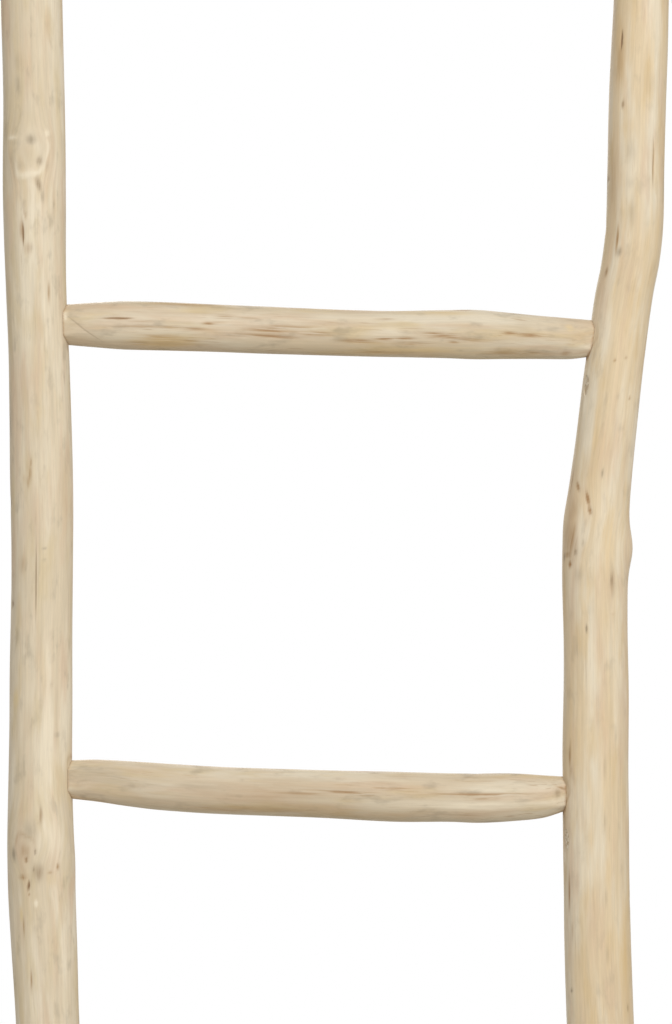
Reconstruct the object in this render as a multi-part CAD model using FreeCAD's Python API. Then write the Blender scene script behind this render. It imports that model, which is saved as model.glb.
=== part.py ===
import FreeCAD, Part
import bisect
import math
import os

# A blanket ladder of peeled branches: two upright stiles and five round rungs between them.
# Each rung ends in a round tenon that sits in a blind mortise of the stile. One slanted screw
# under each joint runs up through the stile into the tenon, and wood filler closes its pocket.
# Millimetres and degrees. +Z is up, +X is to the right and -Y is the front.
# The origin is on the floor, midway between the outermost points of the two stiles.

# The whole ladder
ladder_height = 1700.0
stile_spacing = 430.0
rung_count = 5
first_rung_height = 214.0
top_rung_below_end = 126.0
rung_pitch = (ladder_height - first_rung_height - top_rung_below_end) / (rung_count - 1)
sawn_edge_round = 2.0

# The joints
tenon_diameter = 22.0
tenon_depth = 30.0
tenon_clearance = 0.1
mortise_end_clearance = 0.5
shoulder_gap = 0.2
shoulder_run_in = 9.0
tenon_root = 25.0

# The locking screws and the filler over them
screw_diameter = 4.0
screw_core_diameter = 3.0
screw_length = 38.0
screw_tip_length = 4.0
screw_thread_pitch = 2.0
screw_head_diameter = 5.5
screw_head_height = 2.5
screw_drive_width = 2.4
screw_drive_depth = 1.5
screw_clearance = 0.1
screw_drop_below_rung = 20.0
screw_aim_depth = 14.0
screw_turn = 26.0
pocket_diameter = 6.0
pocket_depth = 10.0
filler_clearance = 0.05

# How finely the branches' sections are laid out
stile_section_step = 20.0
rung_section_step = 16.0
section_points = 16
blank_margin = 60.0

# The stiles. Heights are from the floor. A bend is how far the branch's middle lies from its
# straight reference line: to the right, or to the back. A knot is a low swelling: its height,
# the side it faces (0 is right, 90 is the back, 270 is the front), its rise and its spread.
left_stile = {
    "name": "left",
    "line_x": -stile_spacing / 2,
    "inner_side": 0.0,
    "screw_side": screw_turn,
    "bend_right": [
        (0, -3), (130, -4.5), (270, -2), (420, 1.5), (560, 2.5), (680, 1), (746, -1.7), (827, -5.1),
        (900, -6), (1069, -4.7), (1123, -5.1), (1213, -7.3), (1267, -9.2), (1338, -10.6),
        (1410, -10.6), (1482, -12.3), (1560, -12.2), (1640, -9), (1700, -7),
    ],
    "bend_back": [(0, 0), (260, 3), (620, -2.5), (950, 1.5), (1250, 3.5), (1500, -1), (1700, -3)],
    "radius": [
        (0, 26.2), (110, 25.2), (300, 24.4), (480, 23.6), (640, 23.3), (728, 23.6), (782, 24.6),
        (827, 24.8), (871, 24), (925, 23.2), (979, 23), (1069, 23), (1123, 23.4), (1213, 23),
        (1267, 22.9), (1338, 24), (1410, 23.2), (1482, 22.9), (1600, 21.9), (1700, 21.2),
    ],
    "knots": [(1370, 262, 1.2, 16), (851, 252, 1.4, 20), (838, 328, 1.2, 16), (430, 120, 1.8, 18)],
}
right_stile = {
    "name": "right",
    "line_x": stile_spacing / 2,
    "inner_side": 180.0,
    "screw_side": 180.0 + screw_turn,
    "bend_right": [
        (0, -11), (120, -13), (260, -11.5), (400, -8.5), (520, -8.5), (640, -13), (728, -17),
        (800, -19.3), (907, -20.4), (961, -20), (1051, -20.9), (1090, -19.8), (1123, -16.7),
        (1159, -12.2), (1231, -3.2), (1262, 1.5), (1285, 6), (1312, 9), (1356, 10), (1410, 11.4),
        (1482, 14), (1560, 14.8), (1640, 12.5), (1700, 10.5),
    ],
    "bend_back": [(0, 0), (300, -3), (650, 2.5), (1000, -2.5), (1300, 2.5), (1550, 3), (1700, 0)],
    "radius": [
        (0, 25.8), (120, 24.9), (330, 24), (540, 24.2), (680, 25.2), (746, 25), (820, 24.6),
        (907, 24.2), (1000, 23.8), (1051, 24.4), (1087, 23.9), (1123, 23), (1159, 22.4),
        (1231, 22.1), (1356, 22.1), (1410, 22), (1446, 21.7), (1482, 21), (1600, 20.2), (1700, 19.7),
    ],
    "knots": [(1072, 0, 3.6, 16), (1092, 196, 1, 18), (300, 60, 1.8, 18), (612, 285, 1.4, 16)],
}
oval_share = 0.018
oval_twist_length = 900.0

# The rungs, from the bottom up. The drop is how much lower the right end sits than the left.
# The other points run from 0 at the left stile's surface to 1 at the right stile's surface:
# how far the rung bends up, or to the back, and its radius, thinner at the whittled ends.
rung_shapes = [
    {
        "drop": -5.0,
        "bend_up": [(0, 0), (0.25, 2), (0.6, 3.4), (0.85, 1.7), (1, 0)],
        "bend_back": [(0, 0), (0.4, 1.5), (0.8, -0.8), (1, 0)],
        "radius": [
            (0, 14.8), (0.09, 17.1), (0.35, 18.2), (0.6, 17.4), (0.85, 17.7), (0.95, 15.8), (1, 14.5),
        ],
    },
    {
        "drop": 7.0,
        "bend_up": [(0, 0), (0.3, -2.4), (0.55, -3.6), (0.8, -1.5), (1, 0)],
        "bend_back": [(0, 0), (0.3, -1.6), (0.7, 0.8), (1, 0)],
        "radius": [
            (0, 15.2), (0.08, 17), (0.3, 17.4), (0.5, 18.3), (0.75, 17.6), (0.92, 16.2), (1, 14.2),
        ],
    },
    {
        "drop": 10.8,
        "bend_up": [
            (0, 0), (0.05, -0.4), (0.11, -2), (0.18, -3.6), (0.31, -5.3), (0.5, -5.8), (0.66, -6.3),
            (0.77, -5.9), (0.83, -5.8), (0.9, -4.6), (0.96, -3.6), (1, -1.4),
        ],
        "bend_back": [(0, 0), (0.35, 1.2), (0.7, -1.4), (1, 0)],
        "radius": [
            (0, 14.8), (0.05, 16), (0.11, 17), (0.18, 17.7), (0.5, 17.6), (0.66, 18.7),
            (0.77, 18.3), (0.83, 18.6), (0.9, 17.9), (0.96, 16.1), (1, 13.6),
        ],
    },
    {
        "drop": 11.2,
        "bend_up": [
            (0, 0.3), (0.12, 0.9), (0.3, 0.4), (0.45, -0.4), (0.6, -0.5), (0.78, 0.6), (0.96, -0.8),
            (1, -0.3),
        ],
        "bend_back": [(0, 0), (0.35, -1.4), (0.7, 1), (1, 0)],
        "radius": [
            (0, 15.6), (0.055, 16.9), (0.115, 18.1), (0.3, 17.7), (0.6, 17.2), (0.72, 18),
            (0.78, 18.6), (0.84, 17.6), (0.9, 16.5), (0.965, 15.5), (1, 14.3),
        ],
    },
    {
        "drop": -4.0,
        "bend_up": [(0, 0), (0.2, 1.6), (0.5, -0.6), (0.75, -2.2), (1, 0)],
        "bend_back": [(0, 0), (0.4, 1.3), (1, 0)],
        "radius": [
            (0, 14.2), (0.07, 15.8), (0.25, 16.8), (0.55, 17.4), (0.8, 16.7), (0.94, 15.4), (1, 14.4),
        ],
    },
]


def slope_at(points, index):
    """Slope of the curve through the points at one of them, from the points beside it."""
    before = points[max(index - 1, 0)]
    after = points[min(index + 1, len(points) - 1)]
    return (after[1] - before[1]) / (after[0] - before[0])


def smooth_value(points, place):
    """Value at a place on the smooth curve through (place, value) points, level past its ends."""
    if place <= points[0][0]:
        return points[0][1]
    if place >= points[-1][0]:
        return points[-1][1]
    index = bisect.bisect_right([point[0] for point in points], place) - 1
    start, end = points[index], points[index + 1]
    span = end[0] - start[0]
    share = (place - start[0]) / span
    rise = 3 * share**2 - 2 * share**3
    start_pull = (share - 2 * share**2 + share**3) * span * slope_at(points, index)
    end_pull = (share**3 - share**2) * span * slope_at(points, index + 1)
    return start[1] + rise * (end[1] - start[1]) + start_pull + end_pull


def even_steps(start, end, longest):
    """Places from start to end, evenly spaced and no further apart than the longest step."""
    count = max(2, math.ceil((end - start) / longest))
    return [start + (end - start) * number / count for number in range(count + 1)]


def ring_angles():
    """Angles of the points round one section, in degrees."""
    return [360.0 * number / section_points for number in range(section_points)]


def control_reach(radius):
    """How far out a section's control points lie for its smooth outline to have the radius."""
    return radius * 3 / (2 + math.cos(2 * math.pi / section_points))


def end_face(edge, inside):
    """Flat face that closes one end of a branch, facing away from the inside point."""
    face = Part.Face(Part.Wire([edge]))
    if face.normalAt(0, 0).dot(face.CenterOfMass - inside) < 0:
        face.reverse()
    return face


def branch_solid(places, rings):
    """Closed solid with a smooth skin over rings of control points and flat ends.

    The places say how far along the branch each ring stands.
    """
    lines = []
    for column in zip(*rings):
        line = Part.BSplineCurve()
        line.interpolate(Points=list(column), Parameters=places)
        lines.append(line)
    around = len(lines)
    skin = Part.BSplineSurface()
    skin.buildFromPolesMultsKnots(
        [line.getPoles() for line in lines],
        [1] * (around + 1),
        lines[0].getMultiplicities(),
        [float(number) for number in range(around + 1)],
        lines[0].getKnots(),
        True,
        False,
        3,
        3,
    )
    side = skin.toShape()
    ends = [end_face(edge, side.CenterOfMass) for edge in side.Edges if edge.isClosed()]
    return Part.Solid(Part.Shell([side] + ends))


def stile_middle(stile, height):
    """Point in the middle of a stile at a height."""
    return FreeCAD.Vector(
        stile["line_x"] + smooth_value(stile["bend_right"], height),
        smooth_value(stile["bend_back"], height),
        height,
    )


def knot_rise(knot, height, angle, radius):
    """How far one knot lifts the bark line at a height and angle."""
    knot_height, knot_side, rise, spread = knot
    turn = (angle - knot_side + 180.0) % 360.0 - 180.0
    round_distance = math.radians(turn) * radius
    distance = math.hypot(height - knot_height, round_distance)
    return rise * math.exp(-((distance / spread) ** 2))


def stile_radius(stile, height, angle):
    """Radius of a stile at a height, seen from its middle towards an angle."""
    radius = smooth_value(stile["radius"], height)
    twist = 360.0 * height / oval_twist_length
    oval = 1 + oval_share * math.cos(math.radians(2 * angle + twist))
    knots = sum(knot_rise(knot, height, angle, radius) for knot in stile["knots"])
    return radius * oval + knots


def stile_point(stile, height, angle, reach):
    """Point at a reach from a stile's middle, towards an angle."""
    turn = math.radians(angle)
    return stile_middle(stile, height) + FreeCAD.Vector(math.cos(turn), math.sin(turn), 0) * reach


def stile_ring(stile, height, extra):
    """Control points of one level section of a stile, thicker by the extra all round."""
    return [
        stile_point(stile, height, angle, control_reach(stile_radius(stile, height, angle) + extra))
        for angle in ring_angles()
    ]


def stile_blank(stile, heights, extra=0.0):
    """Solid of a stile over its sections at the heights, thicker by the extra all round."""
    return branch_solid(heights, [stile_ring(stile, height, extra) for height in heights])


def round_sawn_ends(solid):
    """Round the edges of the two sawn end faces."""
    ends = [face for face in solid.Faces if isinstance(face.Surface, Part.Plane)]
    edges = [edge for face in ends for edge in face.Edges]
    return solid.makeFillet(sawn_edge_round, edges)


class Joint:
    """Where one rung meets one stile: the rung's axis, the mortise and the locking screw."""

    def __init__(self, stile, height, far_middle, rung_radius):
        self.stile = stile
        self.middle = stile_middle(stile, height)
        self.outward = (far_middle - self.middle).normalize()
        self.surface_reach = stile_radius(stile, height, stile["inner_side"])
        self.surface = self.middle + self.outward * self.surface_reach
        entry_height = height - rung_radius - screw_drop_below_rung
        entry_reach = stile_radius(stile, entry_height, stile["screw_side"])
        self.entry = stile_point(stile, entry_height, stile["screw_side"], entry_reach)
        aim = self.surface - self.outward * screw_aim_depth
        self.screw_way = (aim - self.entry).normalize()
        self.seat = self.entry + self.screw_way * pocket_depth
        self.lowest = entry_height - blank_margin
        self.highest = height + blank_margin

    def local_blank(self, extra=0.0):
        """The stretch of stile round the joint, from the same sections as the whole stile."""
        heights = [
            height
            for height in even_steps(0.0, ladder_height, stile_section_step)
            if self.lowest <= height <= self.highest
        ]
        return stile_blank(self.stile, heights, extra)

    def tenon(self):
        """Round tenon, from inside the rung to its end in the mortise."""
        length = tenon_root + tenon_depth
        start = self.surface + self.outward * tenon_root
        return Part.makeCylinder(tenon_diameter / 2, length, start, -self.outward)

    def mortise(self):
        """Blind round hole for the tenon."""
        length = tenon_root + tenon_depth + mortise_end_clearance
        start = self.surface + self.outward * tenon_root
        return Part.makeCylinder(tenon_diameter / 2 + tenon_clearance, length, start, -self.outward)

    def screw_hole(self):
        """Hole that the screw's thread runs in, from its seat to just past its tip."""
        length = screw_length + screw_clearance
        radius = screw_diameter / 2 + screw_clearance
        return Part.makeCylinder(radius, length, self.seat, self.screw_way)

    def pocket(self):
        """Slanted pocket that sinks the screw's head."""
        start = self.seat - self.screw_way * 2 * pocket_depth
        return Part.makeCylinder(pocket_diameter / 2, 2 * pocket_depth, start, self.screw_way)

    def screw(self):
        """Locking screw, seated at the bottom of its pocket."""
        solid = screw_solid()
        turn = FreeCAD.Rotation(FreeCAD.Vector(0, 0, 1), self.screw_way)
        solid.Placement = FreeCAD.Placement(self.seat, turn)
        return solid

    def filler(self):
        """Wood filler over the screw's head, sanded flush with the stile."""
        start = self.seat - self.screw_way * 2 * pocket_depth
        length = 2 * pocket_depth - screw_head_height - filler_clearance
        radius = pocket_diameter / 2 - filler_clearance
        plug = Part.makeCylinder(radius, length, start, self.screw_way)
        return plug.common(self.local_blank())


def screw_solid():
    """Flat-seated wood screw along +Z, with its seat at the origin and its head below it."""
    core = screw_core_diameter / 2
    thread = screw_diameter / 2
    head = screw_head_diameter / 2
    outline = [(0, -screw_head_height), (head, -screw_head_height), (head, 0), (core, 0)]
    turns = int((screw_length - screw_tip_length) / screw_thread_pitch)
    for turn in range(turns):
        place = turn * screw_thread_pitch
        outline.append((core, place + screw_thread_pitch / 2))
        outline.append((thread, place + screw_thread_pitch * 3 / 4))
        outline.append((core, place + screw_thread_pitch))
    outline.append((0, screw_length))
    outline.append(outline[0])
    points = [FreeCAD.Vector(radius, 0, place) for radius, place in outline]
    face = Part.Face(Part.makePolygon(points))
    solid = face.revolve(FreeCAD.Vector(0, 0, 0), FreeCAD.Vector(0, 0, 1), 360)
    corner = FreeCAD.Vector(-screw_drive_width / 2, -screw_drive_width / 2, -screw_head_height)
    drive = Part.makeBox(screw_drive_width, screw_drive_width, screw_drive_depth, corner)
    return solid.cut(drive)


def rung_middle(shape, left, right, share):
    """Point in the middle of a rung, at a share of the way between the stiles' surfaces."""
    straight = left.surface + (right.surface - left.surface) * share
    bend_back = smooth_value(shape["bend_back"], share)
    bend_up = smooth_value(shape["bend_up"], share)
    return straight + FreeCAD.Vector(0, bend_back, bend_up)


def rung_ring(shape, left, right, share):
    """Control points of one upright section of a rung."""
    middle = rung_middle(shape, left, right, share)
    reach = control_reach(smooth_value(shape["radius"], share))
    turns = [math.radians(angle) for angle in ring_angles()]
    return [middle + FreeCAD.Vector(0, math.cos(turn), math.sin(turn)) * reach for turn in turns]


def rung_blank(shape, left, right):
    """Round rung with its whittled ends, run into both stiles for the shoulders to be cut."""
    span = (right.surface - left.surface).Length
    run_in = shoulder_run_in / span
    shares = even_steps(-run_in, 1 + run_in, rung_section_step / span)
    return branch_solid(shares, [rung_ring(shape, left, right, share) for share in shares])


def rung_solid(shape, left, right):
    """Rung with its shoulders coped to the stiles, its tenons and its screw holes."""
    blanks = [joint.local_blank(shoulder_gap) for joint in (left, right)]
    coped = rung_blank(shape, left, right).cut(blanks)
    whole = coped.fuse([left.tenon(), right.tenon()])
    return whole.cut([left.screw_hole(), right.screw_hole()])


def stile_solid(stile, joints):
    """Stile with its sawn ends, mortises, screw holes and screw pockets."""
    heights = even_steps(0.0, ladder_height, stile_section_step)
    blank = round_sawn_ends(stile_blank(stile, heights))
    cuts = []
    for joint in joints:
        cuts += [joint.mortise(), joint.screw_hole(), joint.pocket()]
    return blank.cut(cuts)


def joints_of_rung(number):
    """The left and right joints of one rung, counted from 0 at the bottom."""
    shape = rung_shapes[number % len(rung_shapes)]
    height = first_rung_height + number * rung_pitch
    left_height = height + shape["drop"] / 2
    right_height = height - shape["drop"] / 2
    left_middle = stile_middle(left_stile, left_height)
    right_middle = stile_middle(right_stile, right_height)
    left = Joint(left_stile, left_height, right_middle, shape["radius"][0][1])
    right = Joint(right_stile, right_height, left_middle, shape["radius"][-1][1])
    return shape, left, right


def save(name, solid):
    """Write one named piece."""
    solid.exportStep(f"parts/{name}.step")
    print(name, "solids", len(solid.Solids), "volume", round(solid.Volume))


os.makedirs("parts", exist_ok=True)
rungs = [joints_of_rung(number) for number in range(rung_count)]
save("stile_left", stile_solid(left_stile, [left for shape, left, right in rungs]))
save("stile_right", stile_solid(right_stile, [right for shape, left, right in rungs]))
for number, (shape, left, right) in enumerate(rungs, start=1):
    save(f"rung_{number}", rung_solid(shape, left, right))
    for joint in (left, right):
        side = joint.stile["name"]
        save(f"screw_{side}_{number}", joint.screw())
        save(f"filler_{side}_{number}", joint.filler())
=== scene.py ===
# %% [markdown]
# # A blanket ladder of peeled branches
#
# Two crooked stiles carry five round rungs. All seven are real branches with the bark peeled off,
# lightly sanded and left unfinished. The ladder leans on a wall and holds blankets or towels.
#
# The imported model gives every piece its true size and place. This lesson gives the branches the
# surface that the smooth construction solids leave out: flutes, knots, cracks, knife marks and grain.

# %% Load the frame
import math

import bmesh
import bpy
import numpy as np
from mathutils import Matrix, Vector, noise


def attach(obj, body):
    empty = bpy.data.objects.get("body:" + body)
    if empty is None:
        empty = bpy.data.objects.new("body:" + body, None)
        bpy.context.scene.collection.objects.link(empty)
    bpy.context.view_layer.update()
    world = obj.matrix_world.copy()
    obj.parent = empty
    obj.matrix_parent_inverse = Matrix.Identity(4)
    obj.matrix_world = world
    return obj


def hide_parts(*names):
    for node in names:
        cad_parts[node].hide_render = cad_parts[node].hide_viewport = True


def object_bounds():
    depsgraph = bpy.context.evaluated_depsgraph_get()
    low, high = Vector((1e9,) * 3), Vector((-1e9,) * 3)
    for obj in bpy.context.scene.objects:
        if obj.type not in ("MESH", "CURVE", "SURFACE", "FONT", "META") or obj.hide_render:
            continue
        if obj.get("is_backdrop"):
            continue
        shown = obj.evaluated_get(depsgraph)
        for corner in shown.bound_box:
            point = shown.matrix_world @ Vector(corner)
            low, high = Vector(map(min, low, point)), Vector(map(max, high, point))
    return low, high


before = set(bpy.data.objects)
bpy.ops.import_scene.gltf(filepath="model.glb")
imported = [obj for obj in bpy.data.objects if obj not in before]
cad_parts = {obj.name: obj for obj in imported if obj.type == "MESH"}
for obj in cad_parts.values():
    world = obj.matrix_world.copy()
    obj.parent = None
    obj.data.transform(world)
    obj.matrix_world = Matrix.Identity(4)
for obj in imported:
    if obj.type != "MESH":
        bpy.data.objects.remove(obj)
cad_low, cad_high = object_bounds()
print("pieces in the frame:", len(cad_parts))

# %% [markdown]
# ## The camera
#
# The picture looks straight at the ladder from the front, from far away, and shows its middle part.
# A long lens from nearly four metres keeps the branches free of perspective, as the picture does.
# One pixel of the picture is three quarters of a millimetre in the plane of the ladder.

# %% Place the camera
picture_pixels_high = 1024
metres_per_pixel = 0.0007485
picture_middle_height = 1.099
picture_middle_x = 0.0004
lens = 180.0
sensor = 36.0

picture_height = picture_pixels_high * metres_per_pixel
camera_distance = picture_height * lens / sensor
camera_data = bpy.data.cameras.new("camera")
camera_data.lens = lens
camera_data.sensor_width = sensor
camera = bpy.data.objects.new("camera", camera_data)
camera.location = (picture_middle_x, -camera_distance, picture_middle_height)
camera.rotation_euler = (math.radians(90), 0, 0)
bpy.context.scene.collection.objects.link(camera)
bpy.context.scene.camera = camera
print("camera distance in metres:", round(camera_distance, 3))

# %% [markdown]
# ## Colours and nodes
#
# The finishes of the ladder are built from nodes, which can be added and linked one by one in the
# editor. In a script the same few steps come back hundreds of times: add a node, fill its inputs, take
# its output. These short helpers do them, so that each finish below reads as a recipe.

# %% Small helpers for shader nodes
def colour(red, green, blue):
    """A colour given as it looks on screen, from 0 to 255, in the linear values that shaders use."""
    shares = [channel / 255 for channel in (red, green, blue)]
    linear = [share / 12.92 if share <= 0.04045 else ((share + 0.055) / 1.055) ** 2.4 for share in shares]
    return (*linear, 1.0)


def fill_inputs(tree, node, inputs):
    """Link or set the inputs of a node that are named or numbered."""
    for key, value in inputs.items():
        if isinstance(value, bpy.types.NodeSocket):
            tree.links.new(value, node.inputs[key])
        else:
            node.inputs[key].default_value = value


def add_node(tree, kind, inputs=None, **settings):
    """Add a node, set its properties and fill its inputs."""
    made = tree.nodes.new(kind)
    for name, value in settings.items():
        setattr(made, name, value)
    fill_inputs(tree, made, inputs or {})
    return made


def new_material(name):
    """A material with its node tree, whose shader still has to be filled."""
    made = bpy.data.materials.new(name)
    made.use_nodes = True
    return made, made.node_tree


def fill_shader(tree, inputs):
    """Link or set inputs of the material's own shader."""
    fill_inputs(tree, tree.nodes["Principled BSDF"], inputs)


print("middle grey in linear values:", round(colour(128, 128, 128)[0], 3))

# %% Helpers that mix and shape
def even_noise(tree, place, scale, detail):
    """Noise that is alike in every direction."""
    made = add_node(tree, "ShaderNodeTexNoise", {"Vector": place, "Scale": scale, "Detail": detail})
    return made.outputs[0]


def soft_step(tree, value, low, high, to_low=0.0, to_high=1.0):
    """A value's soft rise between two limits."""
    made = add_node(tree, "ShaderNodeMapRange", {
        "Value": value, "From Min": low, "From Max": high, "To Min": to_low, "To Max": to_high},
        interpolation_type="SMOOTHSTEP")
    return made.outputs[0]


def times(tree, first, second):
    """Product of two values."""
    return add_node(tree, "ShaderNodeMath", {0: first, 1: second}, operation="MULTIPLY").outputs[0]


def plus(tree, first, second):
    """Sum of two values."""
    return add_node(tree, "ShaderNodeMath", {0: first, 1: second}, operation="ADD").outputs[0]


def blend(tree, share, under, over, kind="MIX"):
    """Lay one colour over another by a share."""
    made = add_node(tree, "ShaderNodeMix", {0: share, 6: under, 7: over}, data_type="RGBA", blend_type=kind)
    return made.outputs[2]


print("helpers for nodes are ready")

# %% [markdown]
# ## Light and background
#
# Soft light from the front, a little above and to the right, makes each round branch brightest near
# its middle and darker towards both edges. A picture of the sky could light it too, but two large lamps
# are easier to aim. A weak even world fills the shadows. The background is white only where the camera
# or a reflection sees it, so it adds no light of its own.

# %% Fill the world
ambient_strength = 0.55
world = bpy.data.worlds.new("studio")
world.use_nodes = True
bpy.context.scene.world = world
tree = world.node_tree
tree.nodes.clear()
path = add_node(tree, "ShaderNodeLightPath")
seen = add_node(tree, "ShaderNodeMath", {0: path.outputs["Is Camera Ray"], 1: path.outputs["Is Glossy Ray"]},
                operation="MAXIMUM")
seen = add_node(tree, "ShaderNodeMath", {0: seen.outputs[0], 1: path.outputs["Is Transmission Ray"]},
                operation="MAXIMUM")
strength = add_node(tree, "ShaderNodeMapRange",
                    {"Value": seen.outputs[0], "To Min": ambient_strength, "To Max": 1.0})
background = add_node(tree, "ShaderNodeBackground",
                      {"Color": (1, 1, 1, 1), "Strength": strength.outputs[0]})
add_node(tree, "ShaderNodeOutputWorld", {"Surface": background.outputs[0]})
print("world strength for the shadows:", ambient_strength)

# %% Hang two lamps
lamp_aim = (0, 0, 1.1)
lamp_size = 1.8
lamps = {"front_light": ((1.2, -4.45, 3.0), 148), "back_light": ((-1.2, 4.45, 3.0), 120)}


def soft_light(name, place, watts):
    """Square area light at a place, turned towards the ladder's middle."""
    data = bpy.data.lights.new(name, "AREA")
    data.shape = "SQUARE"
    data.size = lamp_size
    data.energy = watts
    light = bpy.data.objects.new(name, data)
    way = Vector(lamp_aim) - Vector(place)
    light.matrix_world = Matrix.Translation(place) @ way.to_track_quat("-Z", "Y").to_matrix().to_4x4()
    bpy.context.scene.collection.objects.link(light)


for name, (place, watts) in lamps.items():
    soft_light(name, place, watts)
bpy.context.scene.view_settings.view_transform = "Standard"
print("lights:", [item.name for item in bpy.data.lights])

# %% [markdown]
# ## The floor
#
# A pale floor catches the ladder's shadow, which shows where it stands. A square plane would do, but a
# disc has its edge equally far away on every side. Further out it fades to the white of the
# background, so no horizon shows. It bounces less light than its own colour would, which keeps the
# underside of each rung from glowing.

# %% Mix the floor's finish
floor_colours = (colour(246, 245, 243), colour(250, 249, 248))
bounce_colour = colour(176, 171, 162)
speckle_scale = 40.0
fade_start = 1.2
fade_end = 3.0


def floor_finish():
    """Nearly white with faint speckles, and plain glowing white far out, where the camera sees it."""
    made, tree = new_material("pale floor")
    path = add_node(tree, "ShaderNodeLightPath").outputs
    speckle = add_node(tree, "ShaderNodeTexNoise", {"Scale": speckle_scale, "Detail": 4.0}).outputs[0]
    shade = blend(tree, speckle, *floor_colours)
    shade = blend(tree, path["Is Diffuse Ray"], shade, bounce_colour)
    place = add_node(tree, "ShaderNodeTexCoord").outputs["Object"]
    reach = add_node(tree, "ShaderNodeVectorMath", {0: place}, operation="LENGTH").outputs["Value"]
    faded = times(tree, soft_step(tree, reach, fade_start, fade_end), path["Is Camera Ray"])
    fill_shader(tree, {
        "Base Color": blend(tree, faded, shade, (0, 0, 0, 1)), "Emission Strength": faded,
        "Emission Color": (1, 1, 1, 1), "Roughness": 0.9})
    return made


pale_floor = floor_finish()
print("floor fades to white from", fade_start, "to", fade_end, "metres")

# %% Lay the floor
floor_radius = 6.0
shape = bmesh.new()
bmesh.ops.create_circle(shape, cap_ends=True, segments=96, radius=floor_radius)
floor_mesh = bpy.data.meshes.new("floor")
shape.to_mesh(floor_mesh)
shape.free()
floor_mesh.materials.append(pale_floor)
floor = bpy.data.objects.new("floor", floor_mesh)
bpy.context.scene.collection.objects.link(floor)
floor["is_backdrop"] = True
print("floor across in metres:", 2 * floor_radius)

# %% [markdown]
# ## The shape of the branches
#
# The construction solids follow a few tables: how far each branch's middle wanders from a straight
# line, how thick it is, and where its knots are. A branch could be sculpted by hand, but its joints
# would then miss their places. The same tables shape the finished branches here, in millimetres, so
# each one stays on its solid. One smooth curve runs through each table's points.

# %% Read a table as a smooth curve
mm = 0.001


def smooth_value(points, places):
    """Values at places on the smooth curve through (place, value) points, level past its ends."""
    at, value = np.array(points, dtype=float).T
    before = np.maximum(np.arange(len(at)) - 1, 0)
    after = np.minimum(np.arange(len(at)) + 1, len(at) - 1)
    slope = (value[after] - value[before]) / (at[after] - at[before])
    places = np.clip(places, at[0], at[-1])
    index = np.clip(np.searchsorted(at, places, side="right") - 1, 0, len(at) - 2)
    span = at[index + 1] - at[index]
    share = (places - at[index]) / span
    rise = 3 * share**2 - 2 * share**3
    start_pull = (share - 2 * share**2 + share**3) * span * slope[index]
    end_pull = (share**3 - share**2) * span * slope[index + 1]
    return value[index] + rise * (value[index + 1] - value[index]) + start_pull + end_pull


print("halfway between 0 and 10 the curve gives", float(smooth_value([(0, 0), (1, 10)], 0.5)))

# %% The stiles' tables
ladder_height = cad_high.z / mm
stile_spacing = 430.0
oval_share = 0.018
oval_twist_length = 900.0
sawn_edge_round = 2.0
screw_turn = 26.0

left_stile = {
    "line_x": -stile_spacing / 2,
    "inner_side": 0.0,
    "screw_side": screw_turn,
    "bend_right": [
        (0, -3), (130, -4.5), (270, -2), (420, 1.5), (560, 2.5), (680, 1), (746, -1.7), (827, -5.1),
        (900, -6), (1069, -4.7), (1123, -5.1), (1213, -7.3), (1267, -9.2), (1338, -10.6),
        (1410, -10.6), (1482, -12.3), (1560, -12.2), (1640, -9), (1700, -7),
    ],
    "bend_back": [(0, 0), (260, 3), (620, -2.5), (950, 1.5), (1250, 3.5), (1500, -1), (1700, -3)],
    "radius": [
        (0, 26.2), (110, 25.2), (300, 24.4), (480, 23.6), (640, 23.3), (728, 23.6), (782, 24.6),
        (827, 24.8), (871, 24), (925, 23.2), (979, 23), (1069, 23), (1123, 23.4), (1213, 23),
        (1267, 22.9), (1338, 24), (1410, 23.2), (1482, 22.9), (1600, 21.9), (1700, 21.2),
    ],
    "knots": [(1370, 262, 1.2, 16), (851, 252, 1.4, 20), (838, 328, 1.2, 16), (430, 120, 1.8, 18)],
}
right_stile = {
    "line_x": stile_spacing / 2,
    "inner_side": 180.0,
    "screw_side": 180.0 + screw_turn,
    "bend_right": [
        (0, -11), (120, -13), (260, -11.5), (400, -8.5), (520, -8.5), (640, -13), (728, -17),
        (800, -19.3), (907, -20.4), (961, -20), (1051, -20.9), (1090, -19.8), (1123, -16.7),
        (1159, -12.2), (1231, -3.2), (1262, 1.5), (1285, 6), (1312, 9), (1356, 10), (1410, 11.4),
        (1482, 14), (1560, 14.8), (1640, 12.5), (1700, 10.5),
    ],
    "bend_back": [(0, 0), (300, -3), (650, 2.5), (1000, -2.5), (1300, 2.5), (1550, 3), (1700, 0)],
    "radius": [
        (0, 25.8), (120, 24.9), (330, 24), (540, 24.2), (680, 25.2), (746, 25), (820, 24.6),
        (907, 24.2), (1000, 23.8), (1051, 24.4), (1087, 23.9), (1123, 23), (1159, 22.4),
        (1231, 22.1), (1356, 22.1), (1410, 22), (1446, 21.7), (1482, 21), (1600, 20.2), (1700, 19.7),
    ],
    "knots": [(1072, 0, 3.6, 16), (1092, 196, 1, 18), (300, 60, 1.8, 18), (612, 285, 1.4, 16)],
}
stiles = {"left": left_stile, "right": right_stile}
print("stiles are", round(ladder_height), "mm tall")

# %% The rungs' tables
first_rung_height = 214.0
rung_pitch = 340.0

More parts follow.
